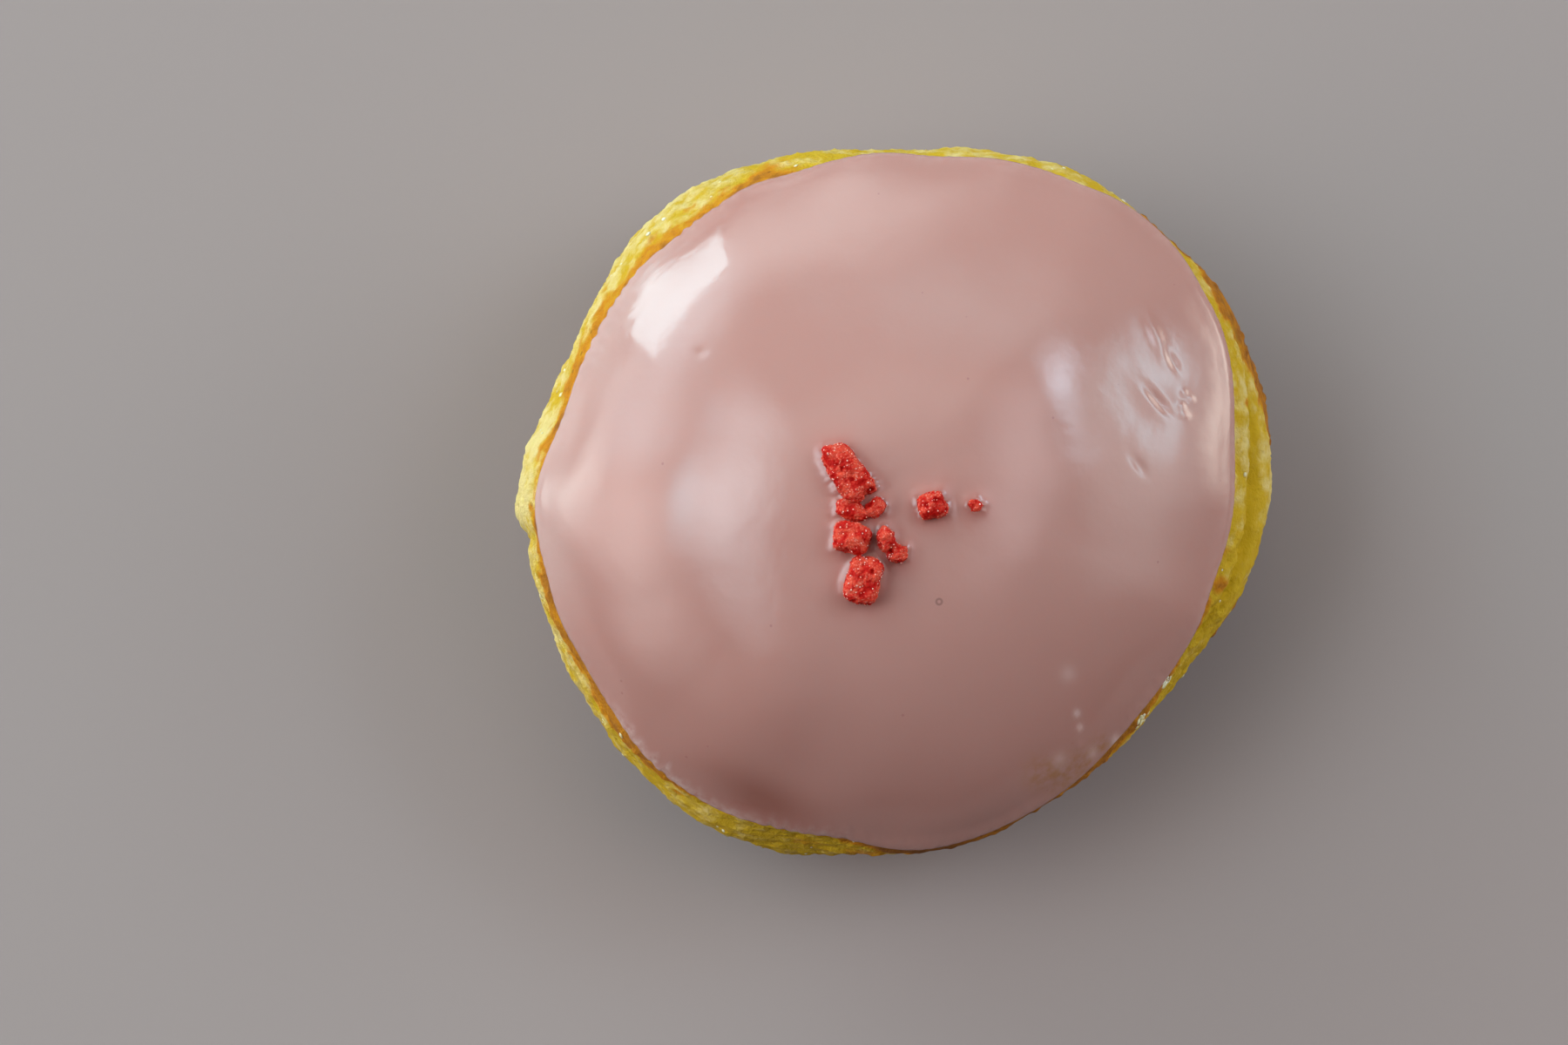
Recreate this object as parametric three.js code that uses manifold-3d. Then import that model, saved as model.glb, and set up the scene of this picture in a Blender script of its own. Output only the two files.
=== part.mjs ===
// A round fried doughnut without a hole, frosted over its crown and topped with
// crumbs of dried fruit. Millimetres, +Z up, standing on the flat of its underside.
//
// Two solids: the dough, and the frosting shell with the fruit crumbs stuck in it.

import * as THREE from "three";
import { mergeVertices } from "three/addons/utils/BufferGeometryUtils.js";
import Module from "manifold-3d";

const wasm = await Module();
wasm.setup();

// ---- Driving dimensions -------------------------------------------------------

const BUN_RADIUS = 42; // mean radius at the waist, seen from above
const WAIST_Z = 16; // height of the widest line of the underside
const DIP_Z = 29; // mean height of the frosting's edge
const CROWN_RISE = 13.6; // from the frosting's edge to the top of the dough
const FLAT_RADIUS = 19; // the flat that it rests on
const FROSTING = 0.8; // thickness of the frosting
const CLEARANCE = 0.3; // between the dough and the frosting

// Outlines seen from above, as shares of BUN_RADIUS, anticlockwise from +X in equal
// steps: the dough's widest line, and the edge of the frosting.
const WAIST_OUTLINE = [
  1.03, 1.05, 1.055, 1.025, 1.02, 0.965, 0.94, 0.965, 0.975, 0.985, 0.95, 0.955,
  0.995, 0.985, 0.985, 1.005, 1.005, 0.995, 0.96, 0.925, 0.925, 0.92, 0.93, 1,
];
const FROSTING_OUTLINE = [
  0.93, 0.95, 0.995, 1.005, 0.955, 0.925, 0.9, 0.89, 0.9, 0.89, 0.9, 0.905,
  0.945, 0.96, 0.96, 0.97, 0.985, 0.955, 0.965, 0.975, 0.94, 0.915, 0.91, 0.905,
];

// The frosting's edge is lifted towards the back and dropped towards the front.
const DIP_TILT = 1.8;
const DIP_HIGH_AT = degrees(65);

// Where the waist stands out less than SPILL_BELOW past the shoulder, the frosting spills
// over it, by up to SPILL.
const SPILL = 2.4;
const SPILL_BELOW = 3.5;
const SPILL_POWER = 10;

const UNDERSIDE_POWER = 2.3; // roundness of the section below the waist
const BAND_POWER = 3; // roundness of the section between the waist and the frosting
const CROWN_POWER = 2.2; // the crown falls with this power of the distance from its middle

// Pale band between the two fried halves: folds that bulge out of it, and the crease
// that splits it on one side.
const FOLDS = [
  { at: degrees(178), wide: degrees(9), z: 23, tall: 4, out: 1.0 },
  { at: degrees(244), wide: degrees(13), z: 20, tall: 5, out: 0.7 },
  { at: degrees(128), wide: degrees(14), z: 22, tall: 5, out: 0.6 },
  { at: degrees(24), wide: degrees(16), z: 15, tall: 4, out: 0.6 },
];
const CREASE = { at: degrees(-8), wide: degrees(30), z: 25.5, tall: 1.2, deep: 0.9 };
const WRINKLES = [
  { waves: 9, out: 0.22, turn: 0.4, climb: 0.35 },
  { waves: 15, out: 0.14, turn: 1.9, climb: -0.6 },
];

// Gentle swells (+) and dents (-) of the crown: centre, radius of influence, rise.
const SWELLS = [
  { x: -21, y: 21, across: 10, rise: 0.55 },
  { x: -9, y: 15, across: 7, rise: -0.35 },
  { x: -26, y: -4, across: 9, rise: 0.35 },
  { x: 17, y: 12, across: 9, rise: 0.4 },
  { x: 27, y: 9, across: 5, rise: -0.3 },
  { x: -13, y: -26, across: 9, rise: 0.6 },
  { x: 8, y: -22, across: 12, rise: 0.3 },
  { x: 2, y: -1, across: 8, rise: -0.3 },
];

// Fruit crumbs: centre, length, width and height, turn about +Z, and squareness
// (2 is an ellipsoid, larger is boxier).
const CRUMB_SINK = 0.55; // how far each crumb goes into the frosting
const CRUMBS = [
  { x: -5.1, y: 0.1, long: 6.7, wide: 3.3, high: 3.0, turn: degrees(-56), square: 4.2 },
  { x: -4.6, y: -4.1, long: 3.9, wide: 2.1, high: 2.3, turn: degrees(-20), square: 2.4 },
  { x: -2.1, y: -3.8, long: 2.4, wide: 2.0, high: 1.9, turn: degrees(35), square: 2.3 },
  { x: -4.6, y: -7.1, long: 3.9, wide: 3.4, high: 3.1, turn: degrees(-10), square: 2.9 },
  { x: -0.9, y: -7.2, long: 2.9, wide: 2.0, high: 2.6, turn: degrees(-80), square: 2.5 },
  { x: 0.3, y: -8.7, long: 2.5, wide: 2.1, high: 2.0, turn: degrees(10), square: 2.5 },
  { x: -3.4, y: -11.7, long: 5.0, wide: 3.7, high: 3.3, turn: degrees(69), square: 4.0 },
  { x: 3.9, y: -3.3, long: 3.6, wide: 3.3, high: 2.8, turn: degrees(25), square: 3.2 },
  { x: 8.8, y: -3.5, long: 1.7, wide: 1.4, high: 1.2, turn: degrees(10), square: 2.6 },
];

// Tessellation.
const AROUND = 72;
const CRUMB_DETAIL = 2;
const UNDERSIDE_RINGS = 8;
const BAND_RINGS = 10;
const CROWN_RINGS = 10;
const LINING_RINGS = 7;

// ---- Section of the bun ---------------------------------------------------------

function degrees(value) {
  return (value * Math.PI) / 180;
}

// A closed outline, read smoothly between its equally spaced radii.
function readOutline(shares, angle) {
  const count = shares.length;
  const place = ((angle / (2 * Math.PI)) * count + 4 * count) % count;
  const first = Math.floor(place);
  const [a, b, c, d] = [-1, 0, 1, 2].map((k) => shares[(first + k + count) % count]);
  const t = place - first;
  const bend = 2 * a - 5 * b + 4 * c - d;
  return BUN_RADIUS * (b + 0.5 * t * (c - a + t * (bend + t * (3 * (b - c) + d - a))));
}

// 1 at the middle of a feature, falling smoothly to 0.
const falloff = (distance, reach) => Math.exp(-((distance / reach) ** 2));

// Angle between two directions, between -PI and PI.
const turnBetween = (a, b) => Math.atan2(Math.sin(a - b), Math.cos(a - b));

// Radius of the dough where the frosting ends.
const shoulderRadius = (angle) => readOutline(FROSTING_OUTLINE, angle) - FROSTING - CLEARANCE;

// How far the frosting's edge is tilted up, and how far it spills down, at one angle.
const edgeTilt = (angle) => DIP_TILT * Math.cos(angle - DIP_HIGH_AT);
const edgeSpill = (angle) => {
  const overhang = readOutline(WAIST_OUTLINE, angle) - shoulderRadius(angle);
  return SPILL * THREE.MathUtils.smoothstep(SPILL_BELOW - overhang, 0, SPILL_BELOW);
};

// How far folds, crease and wrinkles push the flank out at one place.
function flankRelief(angle, z) {
  let out = 0;
  for (const f of FOLDS)
    out += f.out * falloff(turnBetween(angle, f.at), f.wide) * falloff(z - f.z, f.tall);
  const crease = falloff(turnBetween(angle, CREASE.at), CREASE.wide);
  out -= CREASE.deep * crease * falloff(z - CREASE.z, CREASE.tall);
  for (const w of WRINKLES)
    out += w.out * Math.sin(w.waves * angle + w.turn + w.climb * z);
  return out;
}

const crownRelief = (x, y) =>
  SWELLS.reduce((sum, s) => sum + s.rise * falloff(Math.hypot(x - s.x, y - s.y), s.across), 0);

// Radius of the underside at a height below the waist line.
function undersideRadius(angle, z) {
  const share = Math.max(0, 1 - z / WAIST_Z);
  const round = (1 - share ** UNDERSIDE_POWER) ** (1 / UNDERSIDE_POWER);
  const waist = readOutline(WAIST_OUTLINE, angle);
  return FLAT_RADIUS + (waist - FLAT_RADIUS) * round;
}

// One point of the dough's skin. The station runs 0..1 over the underside, 1..2 over
// the band and 2..3 over the crown.
function doughPoint(angle, station) {
  const spill = edgeSpill(angle);
  const dip = DIP_Z + edgeTilt(angle) - spill;
  const shoulder = shoulderRadius(angle);
  let radius;
  let z;
  if (station <= 1) {
    z = WAIST_Z * station ** 1.6;
    radius = undersideRadius(angle, z);
    radius += flankRelief(angle, z) * station ** 2;
  } else if (station <= 2) {
    const s = station - 1;
    z = WAIST_Z + (dip - WAIST_Z) * s;
    const waist = undersideRadius(angle, WAIST_Z);
    radius = THREE.MathUtils.lerp(waist, shoulder, s ** BAND_POWER);
    radius += flankRelief(angle, z);
  } else {
    const share = Math.max(0, 3 - station); // 1 at the frosting's edge, 0 at the top
    z = dip + CROWN_RISE * (1 - share ** CROWN_POWER) + spill * (1 - share ** SPILL_POWER);
    radius = shoulder * share + flankRelief(angle, z) * share ** 6;
    // The tilt of the edge fades, and the relief grows, towards the middle of the crown.
    const relief = crownRelief(radius * Math.cos(angle), radius * Math.sin(angle));
    z += (relief - edgeTilt(angle)) * (1 - share ** 4);
  }
  return new THREE.Vector3(radius * Math.cos(angle), radius * Math.sin(angle), z);
}

// The same place, moved out of the skin along its normal.
function liftedPoint(angle, station, lift) {
  const step = 0.01;
  const here = doughPoint(angle, station);
  if (station >= 3 - step) return here.add(new THREE.Vector3(0, 0, lift));
  const along = doughPoint(angle, station + step).sub(doughPoint(angle, station - step));
  const round = doughPoint(angle + step, station).sub(doughPoint(angle - step, station));
  const normal = round.cross(along).normalize();
  return here.addScaledVector(normal, lift);
}

// ---- Solids ------------------------------------------------------------------------

// A body turned about +Z: a lathe whose vertices are then put where place() says, one
// ring for each stop. The first and last stops lie on the axis.
function turnedSolid(stops, place) {
  const last = stops.length - 1;
  const profile = stops.map((_, i) => new THREE.Vector2(i % last === 0 ? 0 : 1, i));
  const shape = new THREE.LatheGeometry(profile, AROUND);
  const position = shape.getAttribute("position");
  for (let i = 0; i < position.count; i++) {
    const turn = Math.floor(i / stops.length) % AROUND;
    const stop = i % stops.length;
    const angle = stop % last === 0 ? 0 : (2 * Math.PI * turn) / AROUND;
    const p = place(angle, stops[stop]);
    if (stop % last === 0) p.setX(0).setY(0);
    position.setXYZ(i, p.x, p.y, p.z);
  }
  return shape;
}

// Equal steps from one number to another, the first left out.
const steps = (from, to, count) =>
  Array.from({ length: count }, (_, i) => from + ((to - from) * (i + 1)) / count);

function makeDough() {
  const centre = -1; // the middle of the flat underside
  const stops = [centre, 0]
    .concat(steps(0, 1, UNDERSIDE_RINGS))
    .concat(steps(1, 2, BAND_RINGS))
    .concat(steps(2, 3, CROWN_RINGS));
  return turnedSolid(stops, (angle, station) =>
    station === centre ? new THREE.Vector3() : doughPoint(angle, station),
  );
}

function makeFrosting() {
  const edge = 2; // the station where the frosting ends
  const bead = 0.045; // stations over which its edge rounds off
  const lining = steps(3, edge, LINING_RINGS).map((station) => [station, CLEARANCE]);
  const beadStops = [0.25, 0.6, 1].map((share) => [
    edge + bead * (share * share),
    CLEARANCE + FROSTING * Math.sqrt(1 - (1 - share) ** 2),
  ]);
  const outside = steps(edge + bead, 3, CROWN_RINGS).map((station) => [
    station,
    CLEARANCE + FROSTING,
  ]);
  const stops = [[3, CLEARANCE], ...lining, ...beadStops, ...outside];
  return turnedSolid(stops, (angle, [station, lift]) => liftedPoint(angle, station, lift));
}

// Height of the frosting's outside over a point of the plan.
function frostingHeight(x, y) {
  const angle = Math.atan2(y, x);
  const wanted = Math.hypot(x, y);
  let low = 2;
  let high = 3;
  for (let i = 0; i < 30; i++) {
    const middle = (low + high) / 2;
    const p = liftedPoint(angle, middle, CLEARANCE + FROSTING);
    if (Math.hypot(p.x, p.y) > wanted) low = middle;
    else high = middle;
  }
  return liftedPoint(angle, low, CLEARANCE + FROSTING).z;
}

// One crumb: a rounded block whose skin is knocked in and out by crossing waves.
function makeCrumb(crumb, number) {
  const shape = new THREE.IcosahedronGeometry(1, CRUMB_DETAIL);
  const position = shape.getAttribute("position");
  const half = new THREE.Vector3(crumb.long, crumb.wide, crumb.high).multiplyScalar(0.5);
  const p = new THREE.Vector3();
  for (let i = 0; i < position.count; i++) {
    p.fromBufferAttribute(position, i);
    const reach = [p.x, p.y, p.z]
      .map((v) => Math.abs(v) ** crumb.square)
      .reduce((a, b) => a + b);
    const knock =
      1 +
      0.09 * Math.sin(4.1 * p.x + 2.3 * p.z + 1.7 * number) +
      0.08 * Math.sin(5.3 * p.y - 3.1 * p.x + 2.9 * number);
    p.multiplyScalar(knock / reach ** (1 / crumb.square)).multiply(half);
    position.setXYZ(i, p.x, p.y, p.z);
  }
  const z = frostingHeight(crumb.x, crumb.y) + crumb.high / 2 - CRUMB_SINK;
  return shape.rotateZ(crumb.turn).translate(crumb.x, crumb.y, z);
}

// ---- Joining -------------------------------------------------------------------------

function toManifold(geometry) {
  const bare = geometry.clone();
  bare.deleteAttribute("normal");
  bare.deleteAttribute("uv");
  const merged = mergeVertices(bare, 1e-4);
  return new wasm.Manifold(
    new wasm.Mesh({
      numProp: 3,
      vertProperties: merged.getAttribute("position").array,
      triVerts: new Uint32Array(merged.index.array),
    }),
  );
}

function toGeometry(solid) {
  const { vertProperties, triVerts } = solid.getMesh();
  const geometry = new THREE.BufferGeometry();
  geometry.setAttribute("position", new THREE.BufferAttribute(vertProperties, 3));
  geometry.setIndex(new THREE.BufferAttribute(triVerts, 1));
  geometry.computeVertexNormals();
  return geometry;
}

const dough = makeDough();
const frosting = toGeometry(
  CRUMBS.map(makeCrumb)
    .map(toManifold)
    .reduce((whole, crumb) => whole.add(crumb), toManifold(makeFrosting())),
);

// ---- Scene graph -----------------------------------------------------------------------

const doughMesh = new THREE.Mesh(
  dough,
  new THREE.MeshStandardMaterial({ color: 0xd9a93a, roughness: 0.75, metalness: 0 }),
);
doughMesh.name = "dough";

const frostingMesh = new THREE.Mesh(
  frosting,
  new THREE.MeshStandardMaterial({ color: 0xd2a59d, roughness: 0.25, metalness: 0 }),
);
frostingMesh.name = "frosting";

const doughnut = new THREE.Group();
doughnut.add(doughMesh, frostingMesh);

// The origin is under the middle of the whole, on the surface that it stands on.
const box = new THREE.Box3().setFromObject(doughnut);
const middle = box.getCenter(new THREE.Vector3());
doughnut.position.set(-middle.x, -middle.y, -box.min.z);

export default doughnut;
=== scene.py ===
"""A round fried doughnut, frosted over its crown and topped with crumbs of dried fruit.

Laid out as an add-on: settings, an operator for each piece and one for the stage, and a
panel. Lengths are in millimetres up to the point where a mesh is made. Meshes, node trees,
settings and lights are in metres.
"""

import math
from collections import namedtuple

import bmesh
import bpy
import numpy as np
from mathutils import Matrix, Vector
from mathutils.bvhtree import BVHTree


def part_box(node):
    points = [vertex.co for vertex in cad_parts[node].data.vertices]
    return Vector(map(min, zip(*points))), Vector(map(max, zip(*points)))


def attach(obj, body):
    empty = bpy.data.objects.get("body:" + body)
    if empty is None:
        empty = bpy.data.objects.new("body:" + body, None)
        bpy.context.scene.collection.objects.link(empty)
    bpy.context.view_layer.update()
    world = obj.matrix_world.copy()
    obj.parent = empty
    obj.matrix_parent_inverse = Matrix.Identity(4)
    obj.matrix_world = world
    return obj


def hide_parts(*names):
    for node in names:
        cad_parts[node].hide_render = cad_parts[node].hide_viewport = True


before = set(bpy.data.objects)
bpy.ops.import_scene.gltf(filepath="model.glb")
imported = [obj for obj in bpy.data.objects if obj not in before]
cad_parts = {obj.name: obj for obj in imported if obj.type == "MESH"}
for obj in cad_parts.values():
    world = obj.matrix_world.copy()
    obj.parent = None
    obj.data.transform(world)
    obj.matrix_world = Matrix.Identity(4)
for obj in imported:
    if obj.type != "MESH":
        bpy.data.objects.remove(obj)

bl_info = {
    "name": "Frosted Doughnut",
    "version": (1, 0, 0),
    "blender": (4, 5, 0),
    "location": "View3D > Sidebar > Doughnut",
    "description": "Crust, frosting, dried fruit crumbs and flecks of a frosted doughnut",
    "category": "Add Mesh",
}

MM = 0.001
BODY = "root"
DOUGH_LOW, DOUGH_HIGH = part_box("dough")
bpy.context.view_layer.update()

# ---- The bun's section, as in the solids ----------------------------------------------------

BUN_RADIUS = 42.0  # mean radius at the waist, seen from above
WAIST_Z = 16.0  # height of the widest line of the underside
DIP_Z = 29.0  # mean height of the frosting's edge
CROWN_RISE = 13.6  # from the frosting's edge to the top of the dough
FLAT_RADIUS = 19.0  # the flat that it rests on
FROSTING = 0.8  # thickness of the frosting
CLEARANCE = 0.3  # between the solids of dough and frosting

# Outlines from above, as shares of BUN_RADIUS, anticlockwise from +X in equal steps.
WAIST_OUTLINE = [
    1.03, 1.05, 1.055, 1.025, 1.02, 0.965, 0.94, 0.965, 0.975, 0.985, 0.95, 0.955,
    0.995, 0.985, 0.985, 1.005, 1.005, 0.995, 0.96, 0.925, 0.925, 0.92, 0.93, 1,
]
FROSTING_OUTLINE = [
    0.93, 0.95, 0.995, 1.005, 0.955, 0.925, 0.9, 0.89, 0.9, 0.89, 0.9, 0.905,
    0.945, 0.96, 0.96, 0.97, 0.985, 0.955, 0.965, 0.975, 0.94, 0.915, 0.91, 0.905,
]
# The pale band, in the same directions: how far it reaches from the waist to the frosting,
# the height where it starts, how fried the crust above it is, and how much cream it has.
BAND_TOP = [
    1.1, 1.08, 1.03, 1.03, 1.06, 1.08, 1.04, 0.94, 0.8, 0.78, 0.74, 0.74,
    0.88, 0.7, 0.64, 0.7, 0.86, 0.94, 0.75, 0.5, 0.62, 0.66, 0.74, 1.0,
]
BAND_LOW = [
    14, 22, 27.8, 24, 15, 13, 12, 12, 12, 12, 12, 12,
    11, 11, 12, 13, 14, 16, 17, 14, 13, 14, 17, 16,
]
BURN = [
    0.45, 0.45, 0.5, 0.5, 0.4, 0.4, 0.45, 0.45, 0.4, 0.38, 0.4, 0.42,
    0.45, 0.5, 0.55, 0.58, 0.66, 0.6, 0.66, 0.68, 0.66, 0.62, 0.58, 0.5,
]
CREAM = [
    0.4, 0.45, 0.35, 0.2, 0.4, 0.45, 0.4, 0.3, 0.4, 0.45, 0.5, 0.5,
    0.5, 0.55, 0.5, 0.2, 0.05, 0, 0, 0, 0.05, 0.1, 0.1, 0.15,
]
DIP_TILT = 1.8  # how far the frosting's edge rises to one side and falls to the other
DIP_HIGH_AT = math.radians(65)  # the direction in which it lies highest
SPILL = 2.4  # how far the frosting spills down over the shoulder
SPILL_BELOW = 3.5  # it spills where the waist stands out by less than this
SPILL_POWER = 10  # how near its edge the crown drops by the spill
UNDERSIDE_POWER = 2.3  # how full the underside is
UNDERSIDE_SPACING = 1.6  # sets the underside's stations closer near the flat
BAND_POWER = 3  # how late the band rounds over to the shoulder
CROWN_POWER = 2.2  # how flat the crown is on top
SETTLED_POWER = 4  # how near the crown's edge its swells fade
FLANK_POWER = 6  # how near the crown's edge the flank's folds fade

# Folds and creases of the flank: direction and half width in degrees, height, half height
# and how far they stand out. Those from the third line on are too fine for the solids.
Fold = namedtuple("Fold", "at wide z tall out")
FOLDS = [
    Fold(math.radians(at), math.radians(wide), z, tall, out)
    for at, wide, z, tall, out in [
        (178, 9, 23, 4, 1.0), (244, 13, 20, 5, 0.7), (128, 14, 22, 5, 0.6),
        (24, 16, 15, 4, 0.6), (-8, 30, 25.5, 1.1, -0.75),
        (173, 3, 24, 2.5, 0.4), (182.5, 2.6, 20, 5, 0.6), (187.2, 1.8, 20, 5, -0.8),
        (10.5, 2.5, 26, 0.8, -0.6), (2, 3.2, 26, 0.8, -0.8), (-9, 4.5, 26, 0.8, -0.7),
        (4, 9, 28, 0.7, 0.4), (2, 14, 23.6, 1.0, 0.35), (146, 5, 25, 1.2, 0.35),
        (136, 5, 27.2, 0.9, -0.3), (250, 8, 26.5, 1.2, 0.4), (271, 9, 22, 3, 0.65),
        (284, 11, 23, 1.5, 1.25), (302, 9, 23, 2, 0.85),
    ]
]
# Wrinkles of the flank: waves round the bun, how far they stand out, where they start and
# how much they turn for each mm of height.
Wave = namedtuple("Wave", "waves out turn climb")
WRINKLES = [Wave(9, 0.22, 0.4, 0.35), Wave(15, 0.14, 1.9, -0.6)]

# Swells and dents of the crown: place, reach and rise.
Swell = namedtuple("Swell", "x y across rise")
SWELLS = [
    Swell(-21, 21, 10, 0.55),
    Swell(-9, 15, 7, -0.35),
    Swell(-26, -4, 9, 0.35),
    Swell(17, 12, 9, 0.4),
    Swell(27, 9, 5, -0.3),
    Swell(-13, -26, 9, 0.6),
    Swell(8, -22, 12, 0.3),
    Swell(2, -1, 8, -0.3),
]

# Crumbs of dried fruit: place, size, direction and how square they are.
Crumb = namedtuple("Crumb", "x y long wide high turn square")
CRUMB_SINK = 0.55  # how deep they sit in the frosting
CRUMBS = [
    Crumb(-5.1, 0.1, 6.7, 3.6, 3.0, math.radians(-56), 4.4),
    Crumb(-4.6, -4.1, 3.9, 2.1, 2.3, math.radians(-20), 2.4),
    Crumb(-2.1, -3.8, 2.4, 2.0, 1.9, math.radians(35), 2.3),
    Crumb(-4.6, -7.1, 3.9, 3.4, 3.1, math.radians(-10), 2.9),
    Crumb(-0.9, -7.2, 2.9, 2.0, 2.6, math.radians(-80), 2.5),
    Crumb(0.3, -8.7, 2.5, 2.1, 2.0, math.radians(10), 2.5),
    Crumb(-3.4, -11.7, 5.0, 3.7, 3.3, math.radians(69), 4.0),
    Crumb(4.1, -3.5, 3.1, 2.9, 2.7, math.radians(25), 2.8),
    Crumb(8.8, -3.5, 1.7, 1.4, 1.2, math.radians(10), 2.6),
]


def falloff(distance, reach):
    """1 at the middle of a feature, falling smoothly to 0."""
    return np.exp(-((distance / reach) ** 2))


def slope(value, low, high):
    """0 below low, 1 above high, and even in between."""
    return np.clip((value - low) / (high - low), 0, 1)


def turn_between(a, b):
    """The angle from b to a, between -pi and pi."""
    return np.arctan2(np.sin(a - b), np.cos(a - b))


def spread(low, high, count):
    """Equal steps from low to high, the first left out."""
    return np.linspace(low, high, count + 1)[1:]


def around_angles(count):
    """The angles of a ring's points."""
    return np.linspace(0, math.tau, count, endpoint=False)[None, :]


def read_round(values, angle):
    """Reads a closed list of equally spaced values smoothly at any angle."""
    values = np.asarray(values, float)
    count = len(values)
    place = np.mod(angle / math.tau * count, count)
    first = np.floor(place).astype(int)
    a, b, c, d = (values[(first + k) % count] for k in (-1, 0, 1, 2))
    t = place - first
    bend = 2 * a - 5 * b + 4 * c - d
    return b + 0.5 * t * (c - a + t * (bend + t * (3 * (b - c) + d - a)))


def fold_relief(angle, z):
    """How far the folds and creases push the flank out."""
    out = np.zeros_like(z)
    for f in FOLDS:
        out += f.out * falloff(turn_between(angle, f.at), f.wide) * falloff(z - f.z, f.tall)
    return out


def flank_relief(angle, z):
    """How far folds, creases and wrinkles push the flank out."""
    out = fold_relief(angle, z)
    for w in WRINKLES:
        out += w.out * np.sin(w.waves * angle + w.turn + w.climb * z)
    return out


def crown_relief(x, y):
    """How far the swells and dents lift the crown."""
    return sum(s.rise * falloff(np.hypot(x - s.x, y - s.y), s.across) for s in SWELLS)


def dough_skin(angle, station):
    """Points of the dough's skin. The station runs 0..1 over the underside, 1..2 over the
    band and 2..3 over the crown."""
    angle, station = np.broadcast_arrays(np.asarray(angle, float), np.asarray(station, float))
    waist = BUN_RADIUS * read_round(WAIST_OUTLINE, angle)
    shoulder = BUN_RADIUS * read_round(FROSTING_OUTLINE, angle) - FROSTING - CLEARANCE
    room = np.clip(1 - (waist - shoulder) / SPILL_BELOW, 0, 1)
    spill = SPILL * room * room * (3 - 2 * room)
    tilt = DIP_TILT * np.cos(angle - DIP_HIGH_AT)
    dip = DIP_Z + tilt - spill

    under = np.clip(station, 0, 1)
    under_z = WAIST_Z * under**UNDERSIDE_SPACING
    share = (1 - (1 - under_z / WAIST_Z) ** UNDERSIDE_POWER) ** (1 / UNDERSIDE_POWER)
    under_radius = FLAT_RADIUS + (waist - FLAT_RADIUS) * share
    under_radius = under_radius + flank_relief(angle, under_z) * under**2

    s = np.clip(station - 1, 0, 1)
    band_z = WAIST_Z + (dip - WAIST_Z) * s
    band_radius = waist + (shoulder - waist) * s**BAND_POWER + flank_relief(angle, band_z)

    share = 3 - np.clip(station, 2, 3)
    settled = 1 - share**SETTLED_POWER
    crown_z = dip + CROWN_RISE * (1 - share**CROWN_POWER) + spill * (1 - share**SPILL_POWER)
    crown_radius = shoulder * share + flank_relief(angle, crown_z) * share**FLANK_POWER
    crown_x, crown_y = crown_radius * np.cos(angle), crown_radius * np.sin(angle)
    crown_z = crown_z + (crown_relief(crown_x, crown_y) - tilt) * settled

    below, beside = station <= 1, station <= 2
    radius = np.where(below, under_radius, np.where(beside, band_radius, crown_radius))
    z = np.where(below, under_z, np.where(beside, band_z, crown_z))
    return np.stack([radius * np.cos(angle), radius * np.sin(angle), z], axis=-1)


def dough_normal(angle, station):
    """Unit normals of the dough's skin, pointing out."""
    step = 0.01
    along = dough_skin(angle, station + step) - dough_skin(angle, station - step)
    around = dough_skin(angle + step, station) - dough_skin(angle - step, station)
    normal = np.cross(around, along)
    normal = normal / np.maximum(np.linalg.norm(normal, axis=-1, keepdims=True), 1e-9)
    at_pole = np.asarray(station >= 3 - step)[..., None]
    return np.where(at_pole, [0.0, 0.0, 1.0], normal)


def find_shift():
    """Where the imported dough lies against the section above: its origin was put under the
    middle of the whole."""
    skin = dough_skin(around_angles(720), np.linspace(0, 3, 121)[:, None]).reshape(-1, 3)
    middle = (skin.min(0) + skin.max(0)) / 2
    packed = (np.array(DOUGH_LOW) + np.array(DOUGH_HIGH)) / 2 / MM
    return np.array([packed[0] - middle[0], packed[1] - middle[1], DOUGH_LOW[2] / MM])


SHIFT = find_shift()


# ---- Meshes -------------------------------------------------------------------------------


def add_mark(mesh, label, values):
    """Keeps a float or a vector for each point of a mesh."""
    kind, field = ("FLOAT", "value") if values.ndim == 1 else ("FLOAT_VECTOR", "vector")
    mesh.attributes.new(label, kind, "POINT").data.foreach_set(field, values.ravel())


def turned_mesh(name, rings, marks=None):
    """A closed body from rings of points (ring, around, xyz), whose first and last ring are
    poles. marks holds a float or a vector for each point, kept as attributes."""
    rings = rings + SHIFT
    count, around = rings.shape[:2]
    inner = rings[1:-1].reshape(-1, 3)
    verts = np.concatenate([inner, rings[[0, -1], 0]]) * MM
    ring = np.arange(count - 3)[:, None] * around
    here = np.arange(around)[None, :]
    after = (here + 1) % around
    quads = np.stack(
        [ring + here, ring + after, ring + around + after, ring + around + here], axis=-1
    ).reshape(-1, 4)
    low, high = len(inner), len(inner) + 1
    top = (count - 3) * around
    fans = [(low, int(b), int(a)) for a, b in zip(here[0], after[0])]
    fans += [(high, int(top + a), int(top + b)) for a, b in zip(here[0], after[0])]
    mesh = bpy.data.meshes.new(name)
    mesh.from_pydata(verts.tolist(), [], quads.tolist() + fans)
    for label, values in (marks or {}).items():
        inside = values[1:-1].reshape(-1, *values.shape[2:])
        add_mark(mesh, label, np.concatenate([inside, values[[0, -1], 0]]))
    mesh.polygons.foreach_set("use_smooth", [True] * len(mesh.polygons))
    mesh.update()
    return mesh


def place_mesh(name, mesh):
    """Puts a mesh in the scene as an object at the origin."""
    made = bpy.data.objects.new(name, mesh)
    bpy.context.scene.collection.objects.link(made)
    return made


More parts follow.
